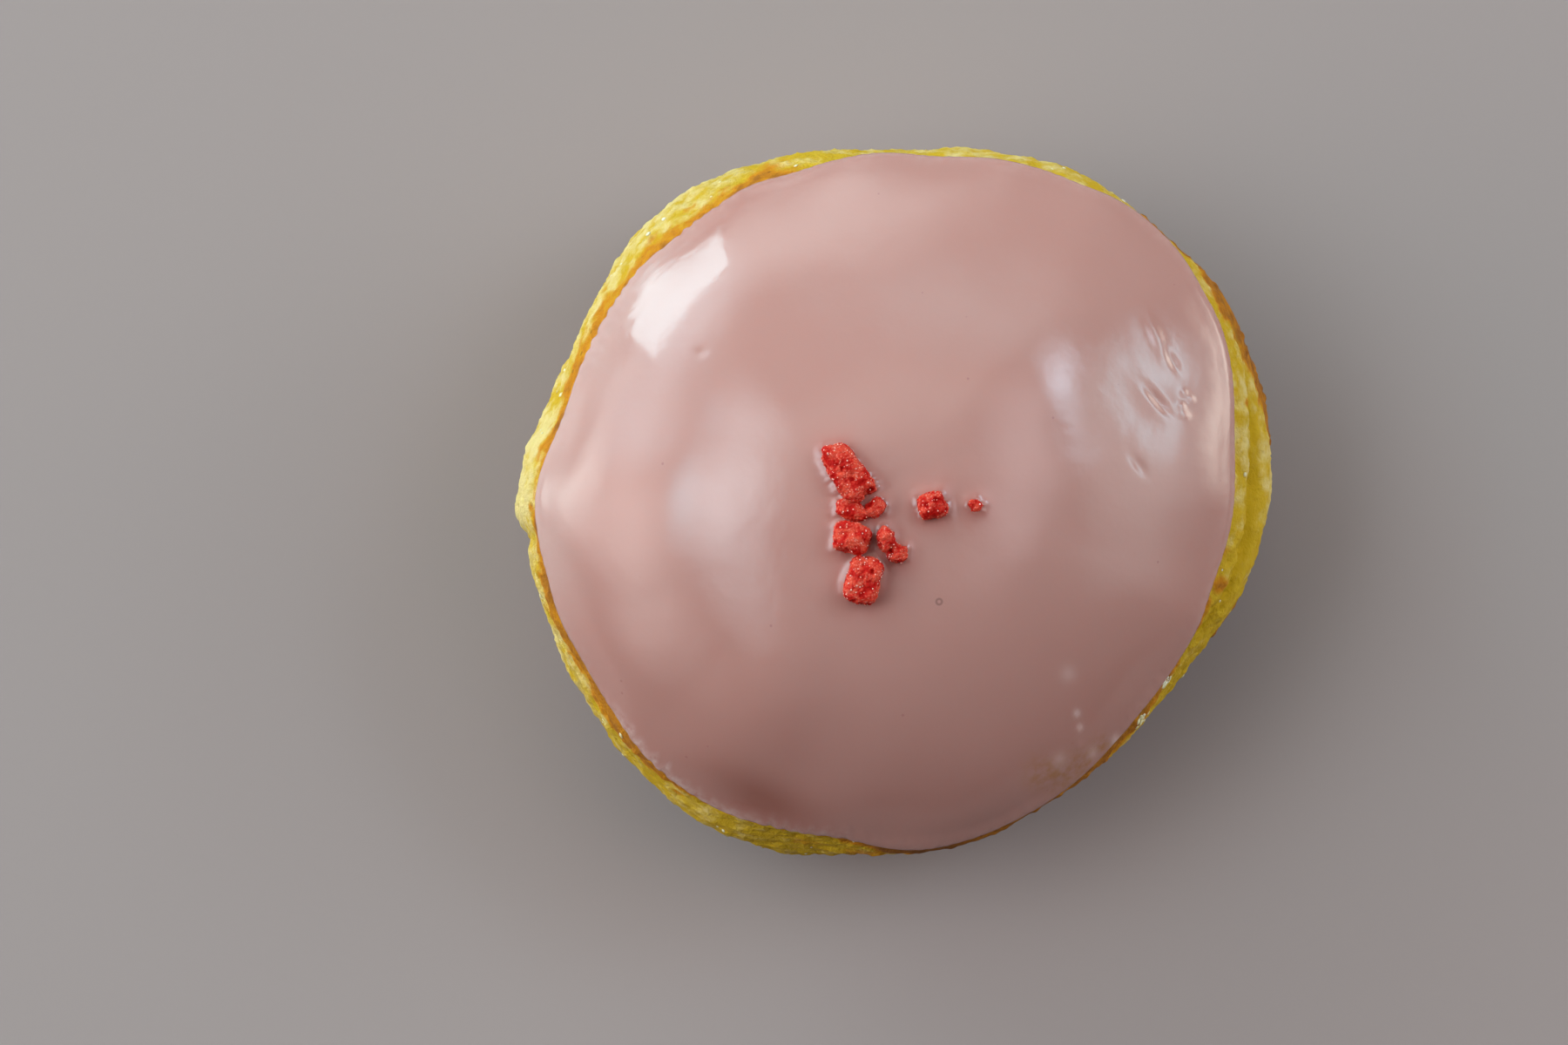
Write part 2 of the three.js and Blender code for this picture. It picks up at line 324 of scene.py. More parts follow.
def finish_piece(piece, slot, *nodes):
    """Attaches a finished piece to the body and hides the nodes that it replaces; slot is not
    used.
    """
    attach(piece, BODY)
    if nodes:
        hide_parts(*nodes)


def bake_modifiers(piece):
    """Turns a piece's modifiers into plain mesh."""
    bpy.context.view_layer.update()
    depsgraph = bpy.context.evaluated_depsgraph_get()
    mesh = bpy.data.meshes.new_from_object(
        piece.evaluated_get(depsgraph), preserve_all_data_layers=True, depsgraph=depsgraph
    )
    piece.modifiers.clear()
    piece.data = mesh
    mesh.polygons.foreach_set("use_smooth", [True] * len(mesh.polygons))
    mesh.update()


# ---- Node trees -----------------------------------------------------------------------------


def add(tree, kind, feeds=None, **fields):
    """Adds a node, sets its fields, and feeds its inputs with values or sockets."""
    made = tree.nodes.new(kind)
    for field, value in fields.items():
        setattr(made, field, value)
    for key, value in (feeds or {}).items():
        if isinstance(value, bpy.types.NodeSocket):
            tree.links.new(value, made.inputs[key])
        else:
            made.inputs[key].default_value = value
    return made


def calc(tree, operation, *values):
    """A Math node's result."""
    return add(tree, "ShaderNodeMath", dict(enumerate(values)), operation=operation).outputs[0]


def times(tree, product, *factors):
    """The product of two or more values."""
    for factor in factors:
        product = calc(tree, "MULTIPLY", product, factor)
    return product


def plus(tree, total, *parts):
    """The sum of two or more values."""
    for part in parts:
        total = calc(tree, "ADD", total, part)
    return total


def scaled(tree, vector, factors):
    """A vector times another, part by part."""
    made = add(tree, "ShaderNodeVectorMath", {0: vector, 1: factors}, operation="MULTIPLY")
    return made.outputs[0]


def distance_to(tree, vector, place):
    """How far a vector lies from a place."""
    made = add(tree, "ShaderNodeVectorMath", {0: vector, 1: place}, operation="DISTANCE")
    return made.outputs["Value"]


def ramp(tree, value, low, high, to_low=0.0, to_high=1.0):
    """Maps low..high smoothly on to_low..to_high, clamped."""
    feeds = {0: value, 1: low, 2: high, 3: to_low, 4: to_high}
    made = add(tree, "ShaderNodeMapRange", feeds, interpolation_type="SMOOTHSTEP")
    return made.outputs[0]


def noise(tree, vector, scale, detail=2.0, roughness=0.5):
    """Noise about 0, most of it between -0.25 and 0.25."""
    feeds = {"Vector": vector, "Scale": scale, "Detail": detail, "Roughness": roughness}
    made = add(tree, "ShaderNodeTexNoise", feeds)
    return calc(tree, "SUBTRACT", made.outputs[0], 0.5)


def cells(tree, vector, scale):
    """Distance to the nearest cell's point, and a random value for each cell."""
    made = add(tree, "ShaderNodeTexVoronoi", {"Vector": vector, "Scale": scale})
    parts = add(tree, "ShaderNodeSeparateXYZ", {0: made.outputs["Color"]})
    return made.outputs["Distance"], parts.outputs[0]


def per_metre(tree, size):
    """The scale of a texture whose features have this size."""
    return calc(tree, "DIVIDE", 1.0, size)


def attribute(tree, label, data_type="FLOAT"):
    """An attribute inside a Geometry Nodes tree."""
    made = add(tree, "GeometryNodeInputNamedAttribute", {"Name": label}, data_type=data_type)
    return made.outputs[0]


def point_position(tree):
    """The position of each point."""
    return add(tree, "GeometryNodeInputPosition").outputs[0]


def push_out(tree, geometry, rise):
    """Moves each point out along its normal."""
    normal = add(tree, "GeometryNodeInputNormal").outputs[0]
    offset = add(tree, "ShaderNodeVectorMath", {0: normal, "Scale": rise}, operation="SCALE")
    feeds = {"Geometry": geometry, "Offset": offset.outputs[0]}
    return add(tree, "GeometryNodeSetPosition", feeds).outputs[0]


def fade_out(tree, distance, reach):
    """1 where there is no distance, falling to 0 beyond the reach."""
    share = calc(tree, "DIVIDE", distance, reach)
    return calc(tree, "EXPONENT", times(tree, share, -1.0))


def keep(tree, geometry, label, value):
    """Keeps a value as a float attribute of the points."""
    feeds = {"Geometry": geometry, "Name": label, "Value": value}
    kind = "GeometryNodeStoreNamedAttribute"
    return add(tree, kind, feeds, data_type="FLOAT", domain="POINT").outputs[0]


def new_group(name, kind, inputs, outputs):
    """A node group with named sockets. inputs gives each one's default, a float or an int,
    or its type where it has none."""
    tree = bpy.data.node_groups.new(name, kind)
    types = {float: "NodeSocketFloat", int: "NodeSocketInt"}
    for label, default in inputs.items():
        bare = isinstance(default, str)
        socket_type = default if bare else types[type(default)]
        made = tree.interface.new_socket(label, in_out="INPUT", socket_type=socket_type)
        if not bare:
            made.default_value = default
    for label, socket_type in outputs.items():
        tree.interface.new_socket(label, in_out="OUTPUT", socket_type=socket_type)
    return tree, tree.nodes.new("NodeGroupInput").outputs, tree.nodes.new("NodeGroupOutput")


def new_growth(name, inputs):
    """A Geometry Nodes tree with a geometry, the named inputs and a material."""
    every = {"Geometry": "NodeSocketGeometry", **inputs, "Material": "NodeSocketMaterial"}
    return new_group(name, "GeometryNodeTree", every, {"Geometry": "NodeSocketGeometry"})


def end_growth(tree, given, sink, geometry):
    """Ends a Geometry Nodes tree: instances are made real and get their material."""
    real = add(tree, "GeometryNodeRealizeInstances", {0: geometry}).outputs[0]
    feeds = {"Geometry": real, "Material": given["Material"]}
    made = add(tree, "GeometryNodeSetMaterial", feeds)
    tree.links.new(made.outputs[0], sink.inputs[0])


def grow(piece, tree, **values):
    """Runs a Geometry Nodes tree over a piece and keeps the result as its mesh."""
    modifier = piece.modifiers.new(tree.name, "NODES")
    modifier.node_group = tree
    sockets = {
        item.name: item.identifier
        for item in tree.interface.items_tree
        if item.item_type == "SOCKET" and item.in_out == "INPUT"
    }
    for label, value in values.items():
        modifier[sockets[label.replace("_", " ")]] = value
    bake_modifiers(piece)


# ---- Relief and scatter trees, whose lengths are in metres ----------------------------------


def crust_tree():
    """Wrinkles and pores in the pale band, blisters on the fried halves, and how far each
    place is fried and how deep it lies, kept as the attributes fry and hollow."""
    tree, given, sink = new_growth(
        "Fried Crust Relief",
        {
            "Wrinkle Height": 0.0005,
            "Wrinkle Size": 0.0024,
            "Pore Depth": 0.0003,
            "Pore Size": 0.0014,
            "Blister Height": 0.0003,
            "Blister Size": 0.0016,
            "Wander": 0.0016,
        },
    )
    along = scaled(tree, attribute(tree, "wrap", "FLOAT_VECTOR"), (1.0, 1.0, 1.6))

    # The band's border wanders, so that pale and fried crust run into each other.
    wander = times(tree, noise(tree, along, 330.0, 3.0, 0.6), given["Wander"], 4.0)
    beyond = plus(tree, attribute(tree, "beyond"), wander)
    fried = ramp(tree, beyond, -0.0006, 0.0014)
    in_band = calc(tree, "SUBTRACT", 1.0, fried)

    scale = per_metre(tree, given["Wrinkle Size"])
    wrinkle = noise(tree, along, scale, 3.0, 0.6)
    crinkle = noise(tree, along, times(tree, scale, 3.3), 2.0)
    folds = plus(tree, wrinkle, times(tree, crinkle, 0.4))
    share = calc(tree, "MULTIPLY_ADD", in_band, 0.65, 0.35)
    folds = times(tree, folds, share, given["Wrinkle Height"], 3.0)

    distance, chance = cells(tree, along, per_metre(tree, given["Pore Size"]))
    pit = ramp(tree, distance, 0.0, 0.45, 1.0, 0.0)
    picked = ramp(tree, chance, 0.7, 0.85)
    pit = times(tree, pit, picked, in_band, given["Pore Depth"])

    distance, chance = cells(tree, point_position(tree), per_metre(tree, given["Blister Size"]))
    blister = ramp(tree, distance, 0.1, 0.5, 1.0, 0.0)
    picked = ramp(tree, chance, 0.35, 0.6)
    share = calc(tree, "MULTIPLY_ADD", fried, 0.8, 0.2)
    blister = times(tree, blister, picked, given["Blister Height"], share)

    rise = plus(tree, calc(tree, "SUBTRACT", folds, pit), blister)
    rise = times(tree, rise, attribute(tree, "bare"))
    shaped = push_out(tree, given["Geometry"], rise)

    fry = times(tree, ramp(tree, beyond, -0.0009, 0.0011), attribute(tree, "burn"))
    marked = keep(tree, shaped, "fry", plus(tree, fry, attribute(tree, "toast")))
    low = calc(tree, "DIVIDE", plus(tree, rise, attribute(tree, "lie")), 0.0006)
    end_growth(tree, given, sink, keep(tree, marked, "hollow", low))
    return tree


def frosting_tree():
    """Slow swells and fine ripples of set frosting, the rim that it draws up round the crumbs
    stuck in it, and the reddish shade painted round them, kept as an attribute."""
    tree, given, sink = new_growth(
        "Frosting Relief",
        {
            "Crumbs": "NodeSocketObject",
            "Swell Height": 0.0003,
            "Swell Size": 0.014,
            "Ripple Height": 0.00005,
            "Ripple Size": 0.004,
            "Rim Height": 0.0004,
            "Rim Reach": 0.0005,
            "Stain Reach": 0.0009,
        },
    )
    position = point_position(tree)
    waves = []
    for label, detail in (("Swell", 1.0), ("Ripple", 2.0)):
        level = noise(tree, position, per_metre(tree, given[label + " Size"]), detail)
        waves.append(times(tree, level, times(tree, given[label + " Height"], 2.0)))

    crumbs = add(tree, "GeometryNodeObjectInfo", {0: given["Crumbs"]}).outputs["Geometry"]
    feeds = {0: crumbs}
    near = add(tree, "GeometryNodeProximity", feeds, target_element="FACES").outputs["Distance"]
    rim = times(tree, fade_out(tree, near, given["Rim Reach"]), given["Rim Height"])

    rise = times(tree, plus(tree, *waves, rim), attribute(tree, "outside"))
    shaped = push_out(tree, given["Geometry"], rise)
    # A reddish shade painted round the crumbs.
    stain = fade_out(tree, near, given["Stain Reach"])
    end_growth(tree, given, sink, keep(tree, shaped, "stain", stain))
    return tree


def fruit_tree():
    """The porous, broken surface of dried fruit, and how deep each place lies, kept as the
    attribute hollow."""
    tree, given, sink = new_growth(
        "Dried Fruit Relief",
        {
            "Break Height": 0.00021,
            "Break Size": 0.0015,
            "Pore Depth": 0.0003,
            "Pore Size": 0.001,
            "Grain Height": 0.0002,
            "Grain Size": 0.0003,
        },
    )
    position = point_position(tree)
    broken = noise(tree, position, per_metre(tree, given["Break Size"]), 2.0, 0.6)
    broken = times(tree, broken, times(tree, given["Break Height"], 3.0))
    distance, chance = cells(tree, position, per_metre(tree, given["Pore Size"]))
    pore = ramp(tree, distance, 0.05, 0.5, 1.0, 0.0)
    pore = times(tree, pore, ramp(tree, chance, 0.45, 0.7), given["Pore Depth"])
    distance, _ = cells(tree, position, per_metre(tree, given["Grain Size"]))
    grain = times(tree, calc(tree, "SUBTRACT", 0.5, distance), given["Grain Height"])

    fine = calc(tree, "SUBTRACT", grain, pore)
    shaped = push_out(tree, given["Geometry"], plus(tree, broken, fine))
    low = calc(tree, "DIVIDE", fine, given["Pore Depth"])
    end_growth(tree, given, sink, keep(tree, shaped, "hollow", low))
    return tree


def scatter_tree(name, flat):
    """Small rough grains scattered over a surface, as dense as the attribute cover says.
    flat is their height as a share of their width."""
    tree, given, sink = new_growth(
        name, {"Density": 1.0e6, "Least Size": 0.0001, "Most Size": 0.0003, "Seed": 1}
    )
    feeds = {
        "Mesh": given["Geometry"],
        "Density": times(tree, given["Density"], attribute(tree, "cover")),
        "Seed": given["Seed"],
    }
    points = add(tree, "GeometryNodeDistributePointsOnFaces", feeds, distribute_method="RANDOM")
    grain = add(tree, "GeometryNodeMeshIcoSphere", {"Radius": 0.5, "Subdivisions": 2})
    feeds = {"Vector": point_position(tree), "Scale": 1.7, "Detail": 1.0}
    knock = add(tree, "ShaderNodeTexNoise", feeds).outputs["Color"]
    push = scaled(tree, add(tree, "GeometryNodeInputNormal").outputs[0], knock)
    feeds = {"Geometry": grain.outputs["Mesh"], "Offset": push}
    rough = add(tree, "GeometryNodeSetPosition", feeds).outputs[0]

    feeds = {2: given["Least Size"], 3: given["Most Size"], "Seed": given["Seed"]}
    width = add(tree, "FunctionNodeRandomValue", feeds, data_type="FLOAT").outputs[1]
    parts = {0: width, 1: width, 2: times(tree, width, flat)}
    shape = add(tree, "ShaderNodeCombineXYZ", parts).outputs[0]
    feeds = {
        "Points": points.outputs["Points"],
        "Instance": rough,
        "Rotation": points.outputs["Rotation"],
        "Scale": shape,
    }
    placed = add(tree, "GeometryNodeInstanceOnPoints", feeds).outputs[0]
    end_growth(tree, given, sink, placed)
    return tree


def scatter(name, mesh, cover, tree, **values):
    """A piece of grains scattered over a copy of a mesh, as dense as cover says."""
    piece = place_mesh(name, mesh.copy())
    piece.data.materials.clear()
    add_mark(piece.data, "cover", cover)
    grow(piece, tree, **values)
    return piece


# ---- Shader groups shared by the materials --------------------------------------------------


def speckle_group():
    """Small round specks: Share of the cells hold one, of radius Size in cell widths."""
    inputs = {"Vector": "NodeSocketVector", "Scale": 1000.0, "Share": 0.1, "Size": 0.2}
    outputs = {"Mask": "NodeSocketFloat"}
    tree, given, sink = new_group("Speckle", "ShaderNodeTree", inputs, outputs)
    distance, chance = cells(tree, given["Vector"], given["Scale"])
    picked = calc(tree, "LESS_THAN", chance, given["Share"])
    inner = times(tree, given["Size"], 0.5)
    spot = ramp(tree, distance, inner, given["Size"], 1.0, 0.0)
    tree.links.new(times(tree, spot, picked), sink.inputs["Mask"])
    return tree


def mottle_group():
    """Soft uneven patches between 0 and 1, about 0.5."""
    inputs = {"Vector": "NodeSocketVector", "Scale": 100.0, "Detail": 3.0, "Contrast": 2.0}
    outputs = {"Value": "NodeSocketFloat"}
    tree, given, sink = new_group("Mottle", "ShaderNodeTree", inputs, outputs)
    level = noise(tree, given["Vector"], given["Scale"], given["Detail"], 0.55)
    level = calc(tree, "MULTIPLY_ADD", level, given["Contrast"], 0.5)
    made = add(tree, "ShaderNodeClamp", {0: level})
    tree.links.new(made.outputs[0], sink.inputs["Value"])
    return tree


SHADER_GROUPS = {"Speckle": speckle_group, "Mottle": mottle_group}


def use_group(tree, name, feeds):
    """Places a shared shader group in a material, and makes it first if need be."""
    group = bpy.data.node_groups.get(name) or SHADER_GROUPS[name]()
    return add(tree, "ShaderNodeGroup", feeds, node_tree=group).outputs[0]


def speckle(tree, place, scale, share, size):
    """The shared specks."""
    feeds = {"Vector": place, "Scale": scale, "Share": share, "Size": size}
    return use_group(tree, "Speckle", feeds)


def mottle(tree, place, scale, detail, contrast):
    """The shared patches."""
    feeds = {"Vector": place, "Scale": scale, "Detail": detail, "Contrast": contrast}
    return use_group(tree, "Mottle", feeds)


# ---- Materials ------------------------------------------------------------------------------

# Colours that are no settings, as linear red, green and blue.
AMBER_CRUST = (0.3, 0.1, 0.015)
# Painted shade in the crust's hollows and creases.
CREASE_SHADE_YELLOW = (0.48, 0.27, 0.004)
CRUST_SPECK = (0.1, 0.035, 0.01)
PINK_SPECK = (0.33, 0.12, 0.12)
DRY_PINK = (0.75, 0.55, 0.5)
CRUST_THROUGH = (0.4, 0.17, 0.06)
# Painted shade over the frosting's front and on a patch near its edge.
SHADE_PINK = (0.3, 0.115, 0.09)
# Paler spots of dust and dried drops, and a highlight painted along the left edge.
DUST_AND_HIGHLIGHT_PINK = (0.62, 0.4, 0.36)
# Painted reddish shade round the crumbs.
CRUMB_SHADE_RED = (0.4, 0.08, 0.06)
RING_BROWN = (0.2, 0.09, 0.08)
# Coral painted as light on the fruit's raised grains, and sugar that also paints its glints.
LIT_GRAIN_CORAL = (0.7, 0.07, 0.035)
SUGAR_AND_GLINT_PINK = (0.85, 0.32, 0.25)
GLINT_TINTS = (0.9, 0.25, 0.18), (0.95, 0.62, 0.55)
FLOUR_TINTS = (0.66, 0.52, 0.2), (0.78, 0.72, 0.56)
WARM_TINT = (0.97, 0.93, 0.92)  # of the frosting's warmer patches, as shares of its colour
CLOUD_TINT = (0.97, 0.97, 0.97)  # of the floor's darker clouds

RING_RADIUS, RING_HALF = 0.00036, 0.00016  # the ring that a burst bubble left, in metres


def new_material(name, **values):
    """A material with one Principled BSDF, whose constant values are set on its sockets."""
    material = bpy.data.materials.new(name)
    material.use_nodes = True
    tree = material.node_tree
    shader = tree.nodes["Principled BSDF"]
    for label, value in values.items():
        shader.inputs[label.replace("_", " ")].default_value = value
    place = add(tree, "ShaderNodeTexCoord").outputs["Object"]
    return material, tree, shader, place


def opaque(colour):
    """A plain colour with its alpha. A socket stays as it is."""
    return colour if isinstance(colour, bpy.types.NodeSocket) else (*colour, 1.0)


def shade(colour, tint):
    """A colour times a tint, part by part."""
    return tuple(part * share for part, share in zip(colour, tint))


def colour_ramp(tree, factor, stops):
    """A colour ramp from (position, colour) pairs."""
    made = add(tree, "ShaderNodeValToRGB", {0: factor})
    elements = made.color_ramp.elements
    while len(elements) < len(stops):
        elements.new(0.5)
    for element, (position, colour) in zip(elements, stops):
        element.position = position
        element.color = opaque(colour)
    return made.outputs[0]


def paint(tree, shader, colour, layers):
    """Paints a shader: each layer has how much it covers and its colour."""
    for cover, layer in layers:
        feeds = {"Factor": cover, 6: opaque(colour), 7: opaque(layer)}
        colour = add(tree, "ShaderNodeMix", feeds, data_type="RGBA").outputs[2]
    tree.links.new(colour, shader.inputs["Base Color"])


def mark(tree, label):
    """A float attribute of the piece inside a material."""
    return add(tree, "ShaderNodeAttribute", attribute_name=label).outputs["Fac"]


def bump(tree, shader, height, depth):
    """Feeds a height, in units of depth metres, to the shader's normal."""
    made = add(tree, "ShaderNodeBump", {"Height": height, "Distance": depth, "Strength": 1.0})
    tree.links.new(made.outputs[0], shader.inputs["Normal"])


def crust_material(settings):
    """Fried crust: yellow with cream patches in the band, orange above it, brown below, and a
    darker yellow painted as shade in its hollows.
    """
    material, tree, shader, place = new_material(
        "Fried crust",
        Roughness=0.65,
        Subsurface_Weight=0.12,
        Subsurface_Radius=(1.0, 0.6, 0.1),
        Subsurface_Scale=0.001,
        Specular_IOR_Level=0.08,
    )
    fry = mark(tree, "fry")
    hollow = mark(tree, "hollow")
    wrap = add(tree, "ShaderNodeAttribute", attribute_name="wrap").outputs["Vector"]
    along = scaled(tree, wrap, (1.0, 1.0, 1.3))
    patches = calc(tree, "SUBTRACT", mottle(tree, along, 650.0, 4.0, 2.0), 0.5)
    stops = [
        (0.1, settings.band_colour),
        (0.42, settings.fried_colour),
        (0.7, AMBER_CRUST),
        (1.0, settings.brown_colour),
    ]
    colour = colour_ramp(tree, plus(tree, fry, times(tree, patches, 0.35)), stops)
    cream = plus(tree, mark(tree, "cream"), times(tree, hollow, 0.25))
    cream = ramp(tree, plus(tree, mottle(tree, along, 420.0, 3.0, 2.0), cream), 0.7, 1.45)
    cream = times(tree, cream, ramp(tree, fry, 0.15, 0.4, 1.0, 0.0))
    specks = speckle(tree, place, 900.0, 0.12, 0.3)
    layers = [
        (cream, settings.cream_colour),
        # Darker yellow painted as shade in the hollows and creases.
        (ramp(tree, hollow, -1.0, -0.1, 0.85, 0.0), CREASE_SHADE_YELLOW),
        (times(tree, specks, ramp(tree, fry, 0.1, 0.5, 0.0, 0.5)), CRUST_SPECK),
    ]
    paint(tree, shader, colour, layers)
    grain = mottle(tree, place, 2600.0, 3.0, 1.5)
    coarse = mottle(tree, place, 900.0, 2.0, 1.5)
    bump(tree, shader, plus(tree, grain, coarse), 0.00012)
    return material


def frosting_material(settings):
    """Set, glossy pink frosting with tiny specks, a dry rim and thin places."""
    material, tree, shader, place = new_material(
        "Pink frosting",
        Roughness=settings.roughness,
        Subsurface_Weight=0.25,
        Subsurface_Radius=(1.0, 0.45, 0.35),
        Subsurface_Scale=0.0012,
        IOR=1.47,
    )
    patches = mottle(tree, place, 70.0, 2.0, 2.0)
    specks = speckle(tree, place, 420.0, 0.16, 0.085)
    chips = mottle(tree, place, 900.0, 3.0, 3.0)
    rim = ramp(tree, mark(tree, "edge"), 0.0003, 0.00062, 1.0, 0.0)
    away = distance_to(tree, place, settings.ring_place)
    off = calc(tree, "ABSOLUTE", calc(tree, "SUBTRACT", away, RING_RADIUS))
    layers = [
        (patches, shade(settings.colour, WARM_TINT)),
        (times(tree, specks, 0.55), PINK_SPECK),
        (times(tree, rim, mark(tree, "dry"), chips), DRY_PINK),
        (times(tree, mark(tree, "thin"), chips), CRUST_THROUGH),
        # Painted shade over the front and on a patch near the edge.
        (mark(tree, "dull"), SHADE_PINK),
        # Dust and dried drops, and a highlight painted along the left edge.
        (mark(tree, "pale"), DUST_AND_HIGHLIGHT_PINK),
        # Painted reddish shade round the crumbs.
        (times(tree, mark(tree, "stain"), 0.6), CRUMB_SHADE_RED),
        (ramp(tree, off, RING_HALF / 4, RING_HALF, 0.6, 0.0), RING_BROWN),
    ]
    paint(tree, shader, settings.colour, layers)
    bump(tree, shader, mottle(tree, place, 330.0, 3.0, 1.0), 0.00004)
    return material


def fruit_material(settings):
    """Dried fruit: bright coral painted as light on its grains, deep red painted as shade in
    its pores.
    """
    material, tree, shader, place = new_material(
        "Dried fruit",
        Roughness=0.5,
        Subsurface_Weight=0.35,
        Subsurface_Radius=(1.0, 0.15, 0.1),
        Subsurface_Scale=0.0006,
        Specular_IOR_Level=0.08,
    )
    patches = calc(tree, "MULTIPLY_ADD", mottle(tree, place, 900.0, 3.0, 2.5), 1.2, -0.6)
    level = plus(tree, mark(tree, "hollow"), patches)
    # Deep red painted as shade in the pores, coral painted as light on the raised grains.
    stops = [(0.0, settings.pore_shade_colour), (0.5, settings.colour), (1.0, LIT_GRAIN_CORAL)]
    colour = colour_ramp(tree, ramp(tree, level, -0.9, 0.5), stops)
    # Sugary specks on the raised grains, which also paint their glints.
    sugar = ramp(tree, mottle(tree, place, 5000.0, 3.0, 3.5), 0.6, 1.0)
    sugar = times(tree, sugar, ramp(tree, level, -0.4, 0.4, 0.0, 0.5))
    paint(tree, shader, colour, [(sugar, SUGAR_AND_GLINT_PINK)])
    bump(tree, shader, mottle(tree, place, 9000.0, 2.0, 2.0), 0.00005)
    return material


def mottled_material(name, scale, detail, contrast, first, second, **values):
    """A plain material whose patches go from one colour to another."""
    material, tree, shader, place = new_material(name, **values)
    paint(tree, shader, first, [(mottle(tree, place, scale, detail, contrast), second)])
    return material


def glint_material():
    """Clear sugary grains on the fruit, whose pale colour also paints its glints."""
    finish = {"Roughness": 0.25, "Subsurface_Weight": 0.3, "Subsurface_Scale": 0.0004}
    return mottled_material("Fruit glints", 1500.0, 1.0, 3.0, *GLINT_TINTS, **finish)


def fleck_material():
    """Dry flecks of flour and sugar."""
    return mottled_material("Flour flecks", 700.0, 2.0, 3.0, *FLOUR_TINTS, Roughness=0.8)


def floor_material(settings):
    """A plain pale floor."""
    tones = settings.floor_colour, shade(settings.floor_colour, CLOUD_TINT)
    return mottled_material("Pale floor", 3.0, 2.0, 0.6, *tones, Roughness=0.7)


# ---- Settings -------------------------------------------------------------------------------


def length(name, description, default):
    """A length setting, whose default is given in millimetres."""
    return bpy.props.FloatProperty(
        name=name, description=description, default=default * MM, unit="LENGTH", precision=5
    )


def tint(name, description, default):
    """A colour setting."""
    return bpy.props.FloatVectorProperty(
        name=name, description=description, default=default, subtype="COLOR", min=0, max=1
    )


class CrustSettings(bpy.types.PropertyGroup):
    """Relief and colours of the fried crust"""

    wander: length("Wander", "How far the pale band's borders wander", 1.2)
    wrinkle_height: length("Wrinkle height", "Depth of the wrinkles in the band", 0.42)
    pore_depth: length("Pore depth", "Depth of the band's open pores", 0.25)
    blister_height: length("Blister height", "Rise of the blisters on the fried crust", 0.3)
    cream_colour: tint("Cream", "Colour of the palest patches", (0.7, 0.51, 0.2))
    band_colour: tint("Band", "Colour of the band", (0.57, 0.335, 0.018))
    fried_colour: tint("Fried", "Colour of the crust above the band", (0.55, 0.195, 0.01))
    brown_colour: tint("Brown", "Colour of the brownest crust", (0.16, 0.055, 0.014))


class FrostingSettings(bpy.types.PropertyGroup):
    """Edge, relief and finish of the frosting"""

    edge_height: length("Edge thickness", "Thickness of the frosting's rounded edge", 0.75)
    edge_reach: length("Edge width", "Width of the frosting's rounded edge", 0.6)
    swell_height: length("Swell height", "Height of the slow swells", 0.12)
    ripple_height: length("Ripple height", "Height of the fine ripples", 0.02)
    rim_height: length("Rim height", "How far the frosting climbs up the crumbs", 0.35)
    colour: tint("Colour", "Colour of the frosting", (0.48, 0.235, 0.2))
    ring_place: bpy.props.FloatVectorProperty(
        name="Ring", description="Where a burst bubble left a ring", subtype="XYZ",
        unit="LENGTH", size=3, default=(0.00424, -0.0133, 0.0425),
    )
    roughness: bpy.props.FloatProperty(
        name="Roughness", description="How dull the frosting is", default=0.11, min=0, max=1,
        subtype="FACTOR",
    )


class FruitSettings(bpy.types.PropertyGroup):
    """Mesh, pores and colours of the dried fruit"""

    voxel: length("Voxel", "Cell size of the crumbs' mesh", 0.08)
    pore_depth: length("Pore depth", "Depth of the pores in the fruit", 0.36)
    colour: tint("Colour", "Colour of the fruit", (0.55, 0.012, 0.007))
    # The shade painted in its pores.
    pore_shade_colour: tint("Deep colour", "Colour in its pores", (0.42, 0.002, 0.001))


class StageSettings(bpy.types.PropertyGroup):
    """Floor and camera"""

    floor_colour: tint("Floor", "Colour of the floor", (0.32, 0.24, 0.222))
    lens: bpy.props.FloatProperty(
        name="Lens", description="Focal length of the camera", default=100.0, min=20,
        unit="CAMERA",
    )
    distance: length("Distance", "From the camera to the middle of the view", 500.0)


# ---- Pieces ---------------------------------------------------------------------------------

AROUND = 640  # points in each ring of crust and frosting
GUIDE_AROUND = 180  # points in each ring of the mesh that the crumbs are set on
CENTRE = -1.0  # station of the middle of the flat underside
EDGE = 1.985  # mean station of the frosting's edge
BAND_LENGTH = 13.7  # mm of skin for each station of the band
CROWN_LENGTH = 45  # mm of skin for each station of the crown


def seeded_waves(angle, seed, low, high, count):
    """A wavy line round the bun, between about -1 and 1, of waves from low to high."""
    draw = np.random.default_rng(seed)
    total = np.zeros_like(angle)
    for waves in draw.integers(low, high, count):
        total += np.sin(waves * angle + draw.uniform(0, math.tau)) * draw.uniform(0.4, 1.0)
    return total / math.sqrt(count / 2)


def window(angle, low, high, soft):
    """1 between two angles in degrees, falling to 0 over soft degrees beyond them."""
    middle = math.radians((low + high) / 2)
    half = math.radians((high - low) / 2)
    beyond = np.abs(turn_between(angle, middle)) - half
    return np.clip(1 - beyond / math.radians(soft), 0, 1)


# Where the frosting's edge is ragged: from, to and softness in degrees, and level.
RAGGED = [(125, 155, 10, 0.5), (222, 262, 12, 0.35), (285, 330, 15, 0.1)]
RAGGED_ALL_ROUND = 0.15
# Where that edge is thinner, in the same way, and by how many mm.
THINNER = (268, 325, 12)
THINNER_BY = 0.48
